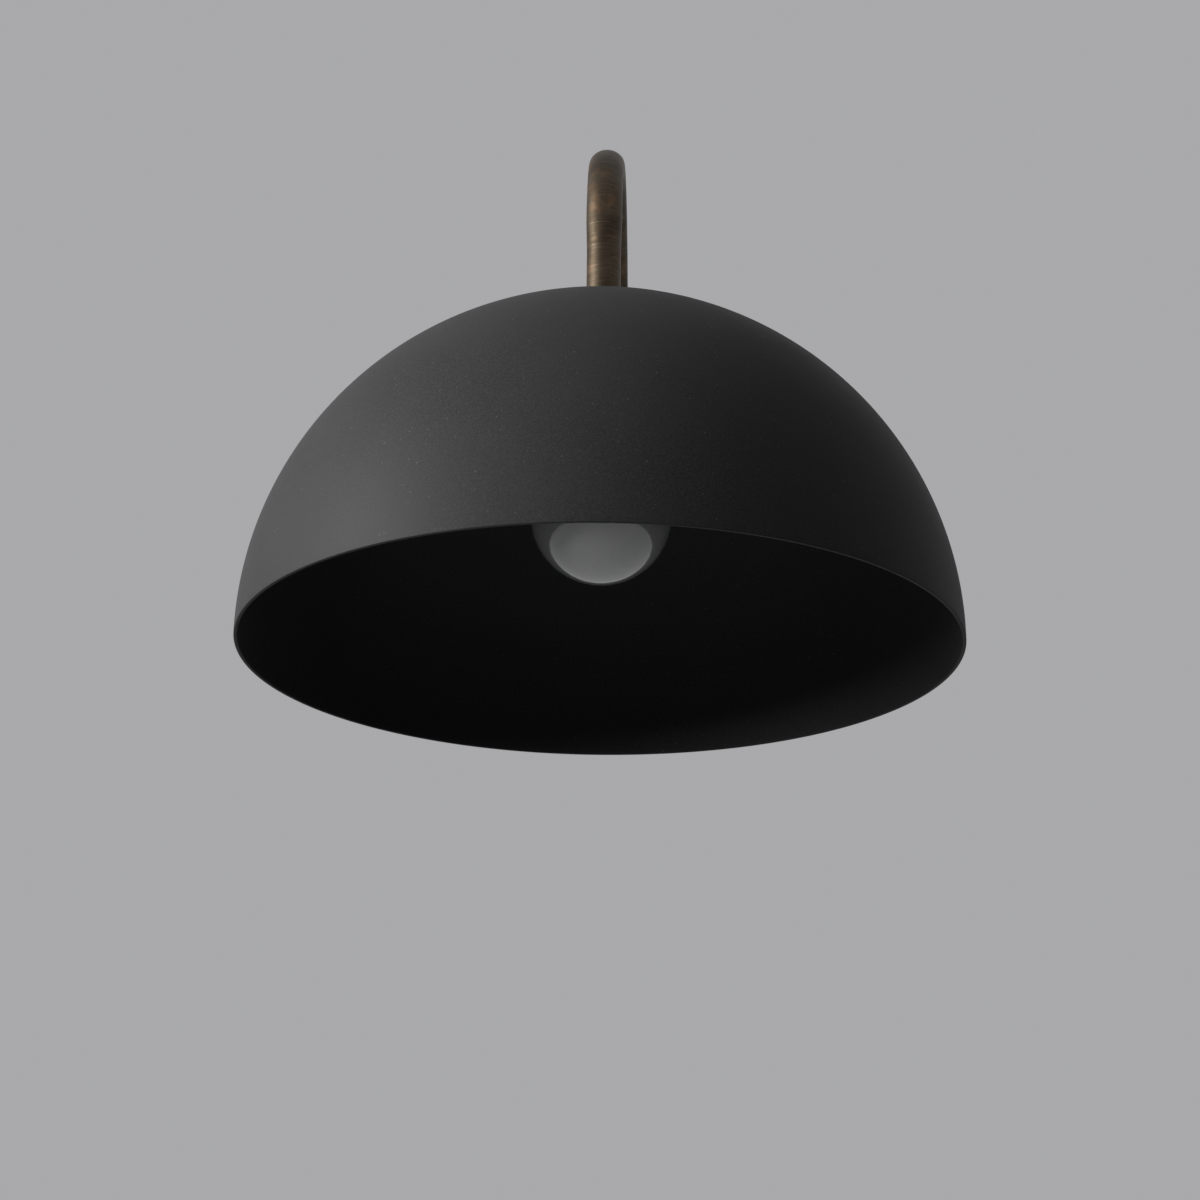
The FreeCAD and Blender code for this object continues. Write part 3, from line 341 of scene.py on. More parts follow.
class Look:
    """A procedural material: a Principled shader and the nodes that vary it over the surface."""

    def __init__(self, name, **values):
        self.material = bpy.data.materials.new(name)
        self.material.use_nodes = True
        self.tree = self.material.node_tree
        self.shader = self.tree.nodes["Principled BSDF"]
        for key, value in values.items():
            self.shader.inputs[key.replace("_", " ")].default_value = value

    def node(self, kind, inputs=None, **settings):
        made = self.tree.nodes.new("ShaderNode" + kind)
        for key, value in settings.items():
            setattr(made, key, value)
        for key, value in (inputs or {}).items():
            if isinstance(value, bpy.types.NodeSocket):
                link(self.tree, value, made.inputs[key])
            else:
                made.inputs[key].default_value = value
        return made

    def coordinates(self, straight=False):
        """Object coordinates, or those a bent or placed piece had before it was bent and placed."""
        if straight:
            return self.node("Attribute", attribute_name="straight").outputs["Vector"]
        return self.node("TexCoord").outputs["Object"]

    def noise(self, vector, scale, detail=3.0, roughness=0.55, stretch=(1, 1, 1), turn=(0, 0, 0), distortion=0.0):
        mapped = self.node("Mapping", {"Vector": vector, "Scale": stretch, "Rotation": turn})
        return self.node("TexNoise", {
            "Vector": mapped.outputs[0], "Scale": scale, "Detail": detail, "Roughness": roughness,
            "Distortion": distortion}).outputs["Fac"]

    def spread(self, value, low, high, to_low=0.0, to_high=1.0):
        return self.node("MapRange", {
            "Value": value, "From Min": low, "From Max": high, "To Min": to_low, "To Max": to_high},
            interpolation_type="SMOOTHSTEP").outputs["Result"]

    def math(self, operation, a, b):
        return self.node("Math", {0: a, 1: b}, operation=operation).outputs[0]

    def mix(self, share, a, b):
        made = self.node("Mix", {"Factor": share}, data_type="RGBA")
        for socket, value in ((6, a), (7, b)):
            if isinstance(value, bpy.types.NodeSocket):
                link(self.tree, value, made.inputs[socket])
            else:
                made.inputs[socket].default_value = (*value, 1)
        return made.outputs[2]

    def bump(self, height, distance, normal=None):
        made = self.node("Bump", {"Height": height, "Distance": distance, "Strength": 1.0})
        if normal is not None:
            link(self.tree, normal, made.inputs["Normal"])
        return made.outputs[0]

    def rounded(self, radius):
        """Normal of the surface with its edges rounded."""
        return self.node("Bevel", {"Radius": radius}, samples=6).outputs[0]

    def edges(self, radius):
        """Share of an edge near a point, 0 on open surface."""
        plain = self.node("NewGeometry").outputs["Normal"]
        dot = self.node("VectorMath", {0: self.rounded(radius), 1: plain}, operation="DOT_PRODUCT")
        return self.spread(dot.outputs["Value"], 0.995, 0.8, 0.0, 1.0)

    def set(self, **sources):
        for key, source in sources.items():
            link(self.tree, source, self.shader.inputs[key.replace("_", " ")])
        return self.material


def powder_coat():
    """Matt black powder coat: fine grain on a faint orange peel, with a few dust specks."""
    look = Look("look_powder_coat", Metallic=0.0, Specular_IOR_Level=0.13)
    where = look.coordinates()
    peel = look.noise(where, 420, 2.0)
    grain = look.noise(where, 1500, 3.0, 0.6)
    fine = look.noise(where, 5200, 2.0)
    cloud = look.noise(where, 14, 4.0)
    speck = look.spread(look.noise(where, 760, 1.0), 0.745, 0.80)
    base = look.mix(look.spread(cloud, 0.35, 0.65), (0.0235, 0.0235, 0.0241), (0.0285, 0.0285, 0.0292))
    grained = look.mix(look.spread(grain, 0.35, 0.75), base, (0.0430, 0.0430, 0.0442))
    colour = look.mix(speck, grained, (0.110, 0.109, 0.106))
    rough = look.math("ADD", look.spread(grain, 0.3, 0.7, 0.55, 0.65), look.spread(cloud, 0.3, 0.7, -0.03, 0.03))
    bumped = look.bump(fine, 0.000006, look.bump(grain, 0.000016, look.bump(peel, 0.00002)))
    return look.set(Base_Color=colour, Roughness=rough, Normal=bumped)


def aged_brass(name, around=(70, 70, 2300), tilt=0.05):
    """Brass toned brown and rubbed along its brush lines, lighter where hands and edges wear it."""
    look = Look(name, Metallic=1.0)
    where = look.coordinates(straight=True)
    lines = look.noise(where, 1.0, 4.0, 0.65, around, (tilt, 0.4 * tilt, 0))
    crossing = look.noise(where, 1.0, 3.0, 0.6, tuple(1.9 * s for s in around), (-1.6 * tilt, tilt, 0))
    hair = look.noise(where, 1.0, 2.0, 0.5, tuple(4.5 * s for s in around), (0.3 * tilt, -0.6 * tilt, 0))
    tone = look.noise(where, 34, 5.0, 0.6, distortion=0.6)
    blush = look.noise(where, 95, 3.0, 0.55, distortion=0.3)
    dirt = look.noise(where, 420, 4.0, 0.7)
    brushed = look.math("ADD", look.math("MULTIPLY", lines, 0.6), look.math("MULTIPLY", crossing, 0.4))
    toned = look.mix(look.spread(tone, 0.34, 0.66), (0.053, 0.040, 0.027), (0.100, 0.078, 0.054))
    blushed = look.mix(look.spread(blush, 0.50, 0.72, 0.0, 0.65), toned, (0.165, 0.098, 0.057))
    rubbed = look.mix(look.spread(brushed, 0.50, 0.72, 0.0, 0.75), blushed, (0.200, 0.158, 0.112))
    spotted = look.mix(look.spread(dirt, 0.60, 0.76, 0.0, 0.55), rubbed, (0.030, 0.023, 0.016))
    worn = look.mix(look.edges(0.0005), spotted, (0.300, 0.230, 0.145))
    rough = look.math("ADD", look.spread(brushed, 0.35, 0.7, 0.50, 0.41), look.spread(tone, 0.3, 0.7, 0.04, -0.03))
    normal = look.bump(hair, 0.0000016, look.bump(brushed, 0.000007, look.rounded(0.0002)))
    return look.set(Base_Color=worn, Roughness=rough, Normal=normal)


def plated(name, light, dark, stain, roughness, worn=None):
    """Plated or bare small metalwork: cloudy plating, faint scratches and bright edges."""
    look = Look(name, Metallic=1.0)
    where = look.coordinates()
    cloud = look.noise(where, 130, 4.0, 0.6, distortion=0.8)
    stained = look.noise(where, 45, 5.0, 0.65)
    scratch = look.noise(where, 1.0, 3.0, 0.6, (900, 900, 900), (0.1, 0.2, 0.3))
    colour = look.mix(look.spread(cloud, 0.35, 0.65), light, dark)
    colour = look.mix(look.spread(stained, 0.50, 0.75, 0.0, 0.6), colour, stain)
    colour = look.mix(look.edges(0.0003), colour, worn or light)
    rough = look.math("ADD", look.spread(scratch, 0.35, 0.7, roughness, roughness + 0.14),
                      look.spread(cloud, 0.3, 0.7, -0.04, 0.04))
    normal = look.bump(scratch, 0.000004, look.rounded(0.00018))
    return look.set(Base_Color=colour, Roughness=rough, Normal=normal)


def moulded(name, colour, shade, roughness, grain_scale=1800, grain=0.000008, **values):
    """Plastic, ceramic or enamel: small changes of colour, fine surface grain, softened edges."""
    look = Look(name, Metallic=0.0, **values)
    where = look.coordinates()
    cloud = look.noise(where, 60, 4.0, 0.6)
    fine = look.noise(where, grain_scale, 3.0, 0.6)
    speck = look.spread(look.noise(where, 1100, 1.0), 0.70, 0.78)
    base = look.mix(look.spread(cloud, 0.35, 0.65), colour, shade)
    speckled = look.mix(look.math("MULTIPLY", speck, 0.4), base, tuple(0.55 * c for c in colour))
    rough = look.spread(fine, 0.3, 0.7, roughness - 0.04, roughness + 0.06)
    normal = look.bump(fine, grain, look.rounded(0.0002))
    return look.set(Base_Color=speckled, Roughness=rough, Normal=normal)


def opal_glass():
    """White-coated glass: smooth and glossy outside, a faintly uneven powder behind it."""
    look = Look("look_opal_glass", Metallic=0.0, IOR=1.5, Subsurface_Weight=0.2, Subsurface_Scale=0.002,
                Coat_Weight=1.0, Coat_Roughness=0.03)
    where = look.coordinates()
    cloud = look.noise(where, 70, 4.0, 0.6)
    powder = look.noise(where, 900, 2.0)
    base = look.mix(look.spread(cloud, 0.3, 0.7), (0.84, 0.84, 0.83), (0.91, 0.91, 0.89))
    dusty = look.mix(look.spread(powder, 0.6, 0.8, 0.0, 0.3), base, (0.70, 0.70, 0.68))
    rough = look.spread(cloud, 0.3, 0.7, 0.10, 0.16)
    return look.set(Base_Color=dusty, Roughness=rough, Normal=look.bump(cloud, 0.00002))


def clear_glass():
    look = Look("look_clear_glass", Metallic=0.0, IOR=1.5, Transmission_Weight=0.9)
    where = look.coordinates()
    cloud = look.noise(where, 200, 3.0)
    tint = look.mix(look.spread(cloud, 0.3, 0.7), (0.93, 0.95, 0.95), (0.86, 0.89, 0.88))
    return look.set(Base_Color=tint, Roughness=look.spread(cloud, 0.3, 0.7, 0.03, 0.10),
                    Normal=look.bump(cloud, 0.00002))


LOOKS = {
    "shade_paint": powder_coat(),
    "aged_brass": aged_brass("look_aged_brass"),
    "canopy_brass": aged_brass("look_canopy_brass", (1500, 1500, 1500), 0.0),
    "zinc_steel": plated("look_zinc_steel", (0.60, 0.61, 0.62), (0.47, 0.48, 0.49), (0.52, 0.49, 0.38), 0.34,
                         worn=(0.72, 0.73, 0.74)),
    "earth_green": plated("look_earth_green", (0.06, 0.30, 0.12), (0.04, 0.22, 0.09), (0.10, 0.26, 0.10), 0.36),
    "contact_brass": plated("look_contact_brass", (0.72, 0.54, 0.25), (0.58, 0.42, 0.19), (0.42, 0.29, 0.15),
                            0.28, worn=(0.82, 0.66, 0.36)),
    "cap_metal": plated("look_cap_metal", (0.70, 0.69, 0.66), (0.60, 0.59, 0.56), (0.52, 0.50, 0.45), 0.26,
                        worn=(0.82, 0.81, 0.78)),
    "block_plastic": moulded("look_block_plastic", (0.78, 0.76, 0.68), (0.70, 0.68, 0.60), 0.42),
    "holder_plastic": moulded("look_holder_plastic", (0.020, 0.019, 0.019), (0.027, 0.025, 0.024), 0.36,
                              grain_scale=1300),
    "ceramic": moulded("look_ceramic", (0.82, 0.80, 0.74), (0.74, 0.71, 0.64), 0.16, grain_scale=500,
                       Coat_Weight=0.5),
    "lead_black": moulded("look_lead_black", (0.022, 0.022, 0.023), (0.030, 0.030, 0.031), 0.40),
    "lead_white": moulded("look_lead_white", (0.80, 0.80, 0.77), (0.72, 0.72, 0.68), 0.40),
    "lead_green": moulded("look_lead_green", (0.035, 0.26, 0.080), (0.028, 0.21, 0.062), 0.40),
    "black_glass": moulded("look_black_glass", (0.030, 0.024, 0.036), (0.045, 0.036, 0.050), 0.10,
                           grain_scale=400, Coat_Weight=0.5),
    "opal_glass": opal_glass(),
    "clear_glass": clear_glass(),
    "phosphor": moulded("look_phosphor", (0.85, 0.66, 0.16), (0.78, 0.58, 0.12), 0.6),
}


def dress(piece, body, slot, *replaced, look=None):
    """Gives a finished piece its look and the body it moves with, and hides the nodes it replaces."""
    piece.data.materials.clear()
    piece.data.materials.append(LOOKS[look or slot])
    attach(piece, body)
    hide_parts(*replaced)
    return piece


# The shade

def shade():
    inner = SHADE_RADIUS - SHADE_SHEET
    land = degrees(asin(LAND_OUTER / SHADE_RADIUS))
    inner_land = degrees(asin(LAND_INNER / inner))
    lift = degrees(RIM_ROUNDING / SHADE_RADIUS)
    middle = RIM_ROUNDING
    profile = arc(0, 0, SHADE_RADIUS, lift, land, 110)
    profile += [(NIPPLE_HOLE_RADIUS, LAND_OUTER), (NIPPLE_HOLE_RADIUS, LAND_INNER)]
    profile += arc(0, 0, inner, inner_land, lift, 110)
    profile += arc(inner + middle, middle, middle, 180, 270, 5)[1:]
    profile += arc(SHADE_RADIUS - middle, middle, middle, 270, 360, 5)[:-1]
    return dress(turned("shade_spun", profile, SHADE_PLACE, 256), "fixture", "shade_paint", "shade")


# The arm

def tube_route():
    """Stations along the tube: centre, heading, share of the oval form and distance from the foot, in mm."""
    pieces = [
        ("run", HOOK_START - LAND_OUTER - COLLAR_WEB),
        ("bend", pi, HOOK_BEND_RADIUS, 1),
        ("run", HOOK_START - BRACKET_LEVEL - ELBOW_BEND_RADIUS),
        ("bend", pi / 2, ELBOW_BEND_RADIUS, -1),
        ("run", REACH - 2 * HOOK_BEND_RADIUS - ELBOW_BEND_RADIUS - CANOPY_DEPTH - COLLAR_WEB),
    ]
    step = 1.6
    point = Vector((0, -REACH, LAND_OUTER + COLLAR_WEB - BRACKET_LEVEL))
    heading = Vector((0, 0, 1))
    bends, stations, travelled = [], [], 0.0
    for piece in pieces:
        length = piece[1] if piece[0] == "run" else piece[1] * piece[2]
        if piece[0] == "bend":
            bends.append((travelled, travelled + length))
        count = max(2, round(length / step))
        across = Vector((0, heading.z, -heading.y))
        start, aim = point.copy(), heading.copy()
        for i in range(0 if not stations else 1, count + 1):
            run = length * i / count
            if piece[0] == "run":
                point, heading = start + aim * run, aim.copy()
            else:
                angle, side = run / piece[2], piece[3]
                point = start + across * (side * piece[2] * (1 - cos(angle))) + aim * (piece[2] * sin(angle))
                heading = aim * cos(angle) + across * (side * sin(angle))
            stations.append((point.copy(), heading.copy(), travelled + run))
        travelled += length

    def share(distance):
        near = max(min(distance - start, end - distance) for start, end in bends)
        blend = min(max((near + OVAL_RAMP) / (2 * OVAL_RAMP), 0), 1)
        return blend * blend * (3 - 2 * blend)

    return [(at, aim, share(distance), distance) for at, aim, distance in stations]


def arm():
    segments = 72
    outer, inner, outer_straight, inner_straight = [], [], [], []
    for at, aim, share, distance in tube_route():
        across = Vector((0, aim.z, -aim.y))
        width = TUBE_RADIUS * (1 + (OVAL_WIDTH - 1) * share)
        depth = TUBE_RADIUS * (1 + (OVAL_DEPTH - 1) * share)
        for rings, straight, wall in ((outer, outer_straight, 0.0), (inner, inner_straight, TUBE_WALL)):
            turns = [2 * pi * j / segments for j in range(segments)]
            rings.append([at + Vector((cos(t) * (width - wall), 0, 0)) + across * (sin(t) * (depth - wall))
                          for t in turns])
            straight.append([Vector((cos(t), sin(t), 0)) * (TUBE_RADIUS - wall) + Vector((0, 0, distance))
                             for t in turns])
    bm = bmesh.new()
    add_rings(bm, outer + inner[::-1], True, Matrix.Identity(4), outer_straight + inner_straight[::-1])
    return dress(finish_mesh("arm_tube_brushed", bm, 50), "fixture", "aged_brass", "arm_tube")


def collar(name, place, node):
    cove = COLLAR_FOOT_RADIUS - COLLAR_LIP_RADIUS
    edge = 0.35
    profile = [(NIPPLE_HOLE_RADIUS, 0.0), (COLLAR_FOOT_RADIUS - edge, 0.0)]
    profile += arc(COLLAR_FOOT_RADIUS - edge, edge, edge, -80, 0, 4)
    profile += arc(COLLAR_FOOT_RADIUS - edge, COLLAR_FOOT_HEIGHT - edge, edge, 0, 90, 4)
    profile += arc(COLLAR_FOOT_RADIUS - edge, COLLAR_FOOT_HEIGHT + cove, cove, 270, 188, 16)
    lip = COLLAR_HEIGHT - edge
    profile += arc(COLLAR_LIP_RADIUS - edge, lip, edge, 0, 90, 4)
    profile += arc(COLLAR_BORE + edge, lip, edge, 90, 180, 4)
    profile += [(COLLAR_BORE, COLLAR_WEB), (NIPPLE_HOLE_RADIUS, COLLAR_WEB)]
    return dress(turned(name, profile, place), "fixture", "aged_brass", node, look="canopy_brass")


# Wall side

def canopy():
    inner = CANOPY_RADIUS - CANOPY_SHEET
    inner_corner = CANOPY_CORNER_RADIUS - CANOPY_SHEET
    corner = (CANOPY_RADIUS - CANOPY_CORNER_RADIUS, CANOPY_DEPTH - CANOPY_CORNER_RADIUS)
    edge = 0.3
    profile = arc(CANOPY_RADIUS - edge, edge, edge, -90, 0, 4)
    profile += arc(*corner, CANOPY_CORNER_RADIUS, 0, 90, 14)
    profile += [(NIPPLE_HOLE_RADIUS, CANOPY_DEPTH), (NIPPLE_HOLE_RADIUS, CANOPY_DEPTH - CANOPY_SHEET)]
    profile += arc(*corner, inner_corner, 90, 0, 12)
    profile += arc(inner + edge, edge, edge, 180, 270, 4)
    piece = turned("canopy_drawn", profile, WALL_PLACE, 192)
    end = CANOPY_RADIUS + 2
    across = Matrix.Rotation(radians(90), 4, "Y")
    hole = turned("hole", [(0, -end), (2.3, -end), (2.3, end), (0, end)],
                  placed(WALL_PLACE, 0, 0, CANOPY_SCREW_HEIGHT) @ across, 48, False)
    return dress(carved(piece, [hole]), "fixture", "aged_brass", "canopy", look="canopy_brass")


# The bulb

def bulb_glass():
    """Ball and neck of one wall. Inside the cap the neck steps in, clear of the cap's thread."""
    neck, ball = BULB_NECK_RADIUS, BULB_RADIUS
    neck_end = BALL_CENTRE + BULB_NECK_DROP
    cove = (neck**2 + BULB_NECK_DROP**2 - ball**2) / (2 * (ball - neck))
    lean = degrees(asin(BULB_NECK_DROP / hypot(neck + cove, BULB_NECK_DROP)))
    step = BULB_CAP_RIM + 1.2
    inside = [(neck, step), (BULB_SEAT_RADIUS, step + 1.4), (BULB_SEAT_RADIUS, BULB_SEAT_TOP)]
    profile = arc(0, BALL_CENTRE, ball, -90, lean, 72)
    profile += arc(neck + cove, neck_end, cove, 180 + lean, 180, 24)[1:] + inside
    profile += [(r - BULB_GLASS, z) for r, z in inside[::-1]]
    profile += arc(neck + cove, neck_end, cove + BULB_GLASS, 180, 180 + lean, 24)
    profile += arc(0, BALL_CENTRE, ball - BULB_GLASS, lean, -90, 72)[1:]
    piece = turned("bulb_opal", profile, SHADE_PLACE, 160, False)
    return dress(piece, "bulb", "opal_glass", "bulb_glass")


def bulb_cap():
    """Thin cap with its rolled thread, drawn in to the eye of the end contact."""
    sheet, crest, root, eye = 0.28, 13.0, 12.42, 7.0
    thread_end, crown = BULB_TOP - 4.6, BULB_TOP - 2.2
    shoulder_radius, crown_radius, segments = 1.05, 8.0, 128
    outer = turned_rings([(crest - 0.1, BULB_CAP_RIM), (crest, BULB_CAP_RIM + 0.2),
                          (crest, BULB_CAP_RIM + 1.4)], segments)
    outer += thread_rings(root, crest, LAMP_PITCH, BULB_CAP_RIM + 2.6, thread_end, segments, 12)
    outer += turned_rings(arc(root - shoulder_radius, thread_end, shoulder_radius, 0, 50, 6)[1:], segments)
    inner = shifted(outer, -sheet)
    outer += turned_rings([(crown_radius, crown), (eye, crown)], segments)
    inner += turned_rings([(crown_radius, crown - sheet), (eye, crown - sheet)], segments)
    return dress(skinned("bulb_cap_rolled", outer + inner[::-1], SHADE_PLACE), "bulb", "cap_metal", "bulb_cap")


def bulb_stem():
    """Blown stem: the pinch that holds the rods, a tube, and a hollow flare sealed into the neck."""
    top, foot = BULB_SEAT_TOP, BULB_SEAT_TOP - 34.0
    inside = BULB_SEAT_RADIUS - BULB_GLASS
    profile = [(0, foot), (3.6, foot), (4.0, foot + 0.4), (4.0, foot + 7), (3.2, foot + 11), (2.8, foot + 16)]
    profile += [(3.0, top - 9), (3.6, top - 6), (5.4, top - 3), (8.2, top - 1.1), (inside, top - 0.2), (inside, top)]
    profile += [(inside - 0.9, top), (7.6, top - 0.35), (4.4, top - 2.4), (2.2, top - 5.6), (0, top - 6.4)]
    return dress(turned("bulb_stem_blown", profile, SHADE_PLACE, 96, False), "bulb", "clear_glass", "bulb_stem")


# The lamp holder

def screw_shell():
    """Holder's shell with its rolled thread just clear of the bulb's, and its tab to the neutral screw."""
    low, flange, segments = WEB_UNDERSIDE - SHELL_LENGTH, WEB_UNDERSIDE - SHELL_SHEET, 128
    root, crest = SHELL_BORE_RADIUS, SHELL_BORE_RADIUS - 0.38
    outside = root + SHELL_SHEET
    thread = thread_rings(root, crest, LAMP_PITCH, low + 1.0, flange - 2.0, segments, 12, 0.5)
    inner = turned_rings([(root + 0.15, low), (root, low + 0.4)], segments) + thread
    inner += turned_rings([(root, flange), (SHELL_EYE_RADIUS, flange)], segments)
    outer = turned_rings([(outside, low), (outside, low + 0.4)], segments) + shifted(thread, SHELL_SHEET)
    outer += turned_rings([(outside, WEB_UNDERSIDE), (SHELL_EYE_RADIUS, WEB_UNDERSIDE)], segments)
    shell = skinned("shell", inner + outer[::-1], SHADE_PLACE)
    tab_in, tab_out, tab_end, tab_top = 10.95, 11.45, 5.8, WEB_TOP + 0.5
    outline = [(tab_in, WEB_UNDERSIDE), (tab_out, WEB_UNDERSIDE), (tab_out, tab_top), (tab_end, tab_top),
               (tab_end, WEB_TOP), (tab_in, WEB_TOP)]
    tab = prism("tab", outline, -4.8, 2.2, SHADE_PLACE)
    hole = turned("hole", [(0, -1), (1.45, -1), (1.45, 1), (0, 1)],
                  placed(SHADE_PLACE, TERMINAL_X, TERMINAL_Y, WEB_TOP), 32, False)
    piece = joined("screw_shell_rolled", [shell, carved(tab, [hole])])
    return dress(piece, "fixture", "contact_brass", "screw_shell")


def holder_cap():
    """Moulded cap with grip flutes round its side."""
    flutes, points, depth = 48, 6, 0.3
    segments = flutes * points

    def fluted(z, share):
        ring = []
        for j in range(segments):
            turn = 2 * pi * j / segments
            radius = HOLDER_RADIUS - share * depth * (0.5 - 0.5 * cos(flutes * turn))
            ring.append(Vector((radius * cos(turn), radius * sin(turn), z)))
        return ring

    shoulder = HOLDER_TOP - HOLDER_SHOULDER_RADIUS
    rings = turned_rings([(HOLDER_RADIUS - 0.25, CAP_EDGE), (HOLDER_RADIUS, CAP_EDGE + 0.25)], segments)
    rings += [fluted(CAP_EDGE + 0.9, 0), fluted(CAP_EDGE + 1.3, 0.8), fluted(CAP_EDGE + 1.6, 1)]
    rings += [fluted(shoulder - 1.2, 1), fluted(shoulder - 0.9, 0.8), fluted(shoulder - 0.5, 0)]
    rings += turned_rings(arc(HOLDER_RADIUS - HOLDER_SHOULDER_RADIUS, shoulder, HOLDER_SHOULDER_RADIUS, 0, 90, 10)
                          + [(4.9, HOLDER_TOP), (4.9, HOLDER_CEILING), (HOLDER_RADIUS - HOLDER_WALL, HOLDER_CEILING),
                             (HOLDER_RADIUS - HOLDER_WALL, CAP_EDGE)], segments)
    return dress(skinned("holder_cap_moulded", rings, SHADE_PLACE), "fixture", "holder_plastic", "holder_cap")


def holder_skirt():
    """Moulded shell: a thread into the cap, a ledge under the insert, and a beaded mouth."""
    thread_radius, segments = HOLDER_RADIUS - HOLDER_WALL - 0.05, 128
    bead = 0.5
    outer = arc(HOLDER_RADIUS - bead, HOLDER_MOUTH + bead, bead, -90, 0, 6)
    outer += [(HOLDER_RADIUS, HOLDER_MOUTH + 2.4), (HOLDER_RADIUS - 0.35, HOLDER_MOUTH + 2.6),
              (HOLDER_RADIUS - 0.35, HOLDER_MOUTH + 3.2), (HOLDER_RADIUS, HOLDER_MOUTH + 3.4)]
    outer += [(HOLDER_RADIUS, CAP_EDGE - 0.3), (HOLDER_RADIUS - 0.3, CAP_EDGE), (thread_radius - 0.5, CAP_EDGE)]
    rings = turned_rings(outer, segments)
    rings += thread_rings(thread_radius - 0.5, thread_radius, 1.6, CAP_EDGE + 0.1, SKIRT_THREAD_TOP - 0.1, segments)
    inner = [(thread_radius - 0.6, SKIRT_THREAD_TOP), (SKIRT_BORE, SKIRT_THREAD_TOP), (SKIRT_BORE, INSERT_LEDGE),
             (SKIRT_THROAT, INSERT_LEDGE)]
    inner += [(SKIRT_THROAT, HOLDER_MOUTH + bead)] + arc(SKIRT_THROAT + bead, HOLDER_MOUTH + bead, bead, 180, 270, 6)
    rings += turned_rings(inner, segments)
    return dress(skinned("holder_skirt_moulded", rings, SHADE_PLACE), "fixture", "holder_plastic", "holder_skirt")


# Fasteners

def fasteners():
    """Every screw, pipe, nut and washer, its size and place as in the solids."""
    block_places = [placed(WALL_PLACE, x, y, SLEEVE_TOP) for x in (-POLE_X, POLE_X) for y in CLAMP_HEIGHTS]
    side_places = [placed(WALL_PLACE, side * CANOPY_RADIUS, 0, CANOPY_SCREW_HEIGHT)
                   @ Matrix.Rotation(radians(90 * side), 4, "Y") for side in (-1, 1)]
    holder_places = [placed(SHADE_PLACE, side * TERMINAL_X, TERMINAL_Y, TERMINAL_SEAT) for side in (-1, 1)]
    wall_washer = WALL_NUT_BACK + LOCK_NUT_THICKNESS
    tube_end = CANOPY_DEPTH + COLLAR_WEB
    nut_top = HOLDER_TOP + LOCK_NUT_THICKNESS
    made = {
        "canopy_screws": (screws("canopy_screws_slotted", side_places, 2.0, 6.5, 4.0, 2.6, 0.7), "aged_brass"),
        "ground_screw": (screws("ground_screw_slotted", [placed(WALL_PLACE, -26, -6, 4.05)],
                                2.0, 4.05, 3.6, 2.2, 0.7), "earth_green"),
        "block_screw": (screws("block_screw_slotted", [placed(WALL_PLACE, 0, -23.5, 11)],
                               1.5, 11.0, 2.6, 1.8, 0.5), "zinc_steel"),
        "terminal_screws": (screws("terminal_screws_slotted", block_places, 1.3, 1.35, 2.1, 5.3, 0.45),
                            "zinc_steel"),
        "holder_terminal_screws": (screws("holder_terminal_screws_slotted", holder_places,
                                          1.4, 5.3, 3.2, 1.3, 0.5), "contact_brass"),
        "wall_nipple": (threaded_pipe("wall_nipple_threaded", WALL_NUT_BACK - 1, tube_end + NIPPLE_GRIP,
                                      WALL_PLACE), "zinc_steel"),
        "shade_nipple": (threaded_pipe("shade_nipple_threaded", HOLDER_CEILING,
                                       LAND_OUTER + COLLAR_WEB + NIPPLE_GRIP, SHADE_PLACE), "zinc_steel"),
        "wall_lock_nut": (lock_nut("wall_lock_nut_chamfered", placed(WALL_PLACE, 0, 0, WALL_NUT_BACK)),
                          "zinc_steel"),
        "shade_lock_nut": (lock_nut("shade_lock_nut_chamfered", placed(SHADE_PLACE, 0, 0, HOLDER_TOP)),
                           "zinc_steel"),
        "shade_washer": (washer("shade_washer_stamped", SHADE_WASHER_RADIUS, NIPPLE_HOLE_RADIUS, nut_top,
                                nut_top + SHADE_WASHER_THICKNESS, SHADE_PLACE), "zinc_steel"),
        "wall_lock_washer": (toothed_washer("wall_lock_washer_toothed", WASHER_RADIUS, NIPPLE_HOLE_RADIUS,
                                            wall_washer, wall_washer + LOCK_WASHER_THICKNESS, WALL_PLACE),
                             "zinc_steel"),
    }
    for node, (piece, slot) in made.items():
        dress(piece, "fixture", slot, node, look="canopy_brass" if slot == "aged_brass" else None)


shade()
arm()
collar("shade_collar_turned", placed(SHADE_PLACE, 0, 0, LAND_OUTER), "shade_collar")
collar("wall_collar_turned", placed(WALL_PLACE, 0, 0, CANOPY_DEPTH), "wall_collar")
canopy()
bulb_glass()
bulb_cap()
bulb_stem()
screw_shell()
holder_cap()
holder_skirt()
fasteners()

slot_of = {part["node"]: part["material_slot"] for part in frame["record"]["subparts"]}
for name, node in frame["nodes"].items():
    node.material_slots[0].link = "OBJECT"
    node.material_slots[0].material = LOOKS[slot_of[name]]


# Floor, light and camera

LAMP_AIM = Vector((0, -0.2, -0.03))
FLOOR_HALF = 9.0
FLOOR_LEVEL = -1.9

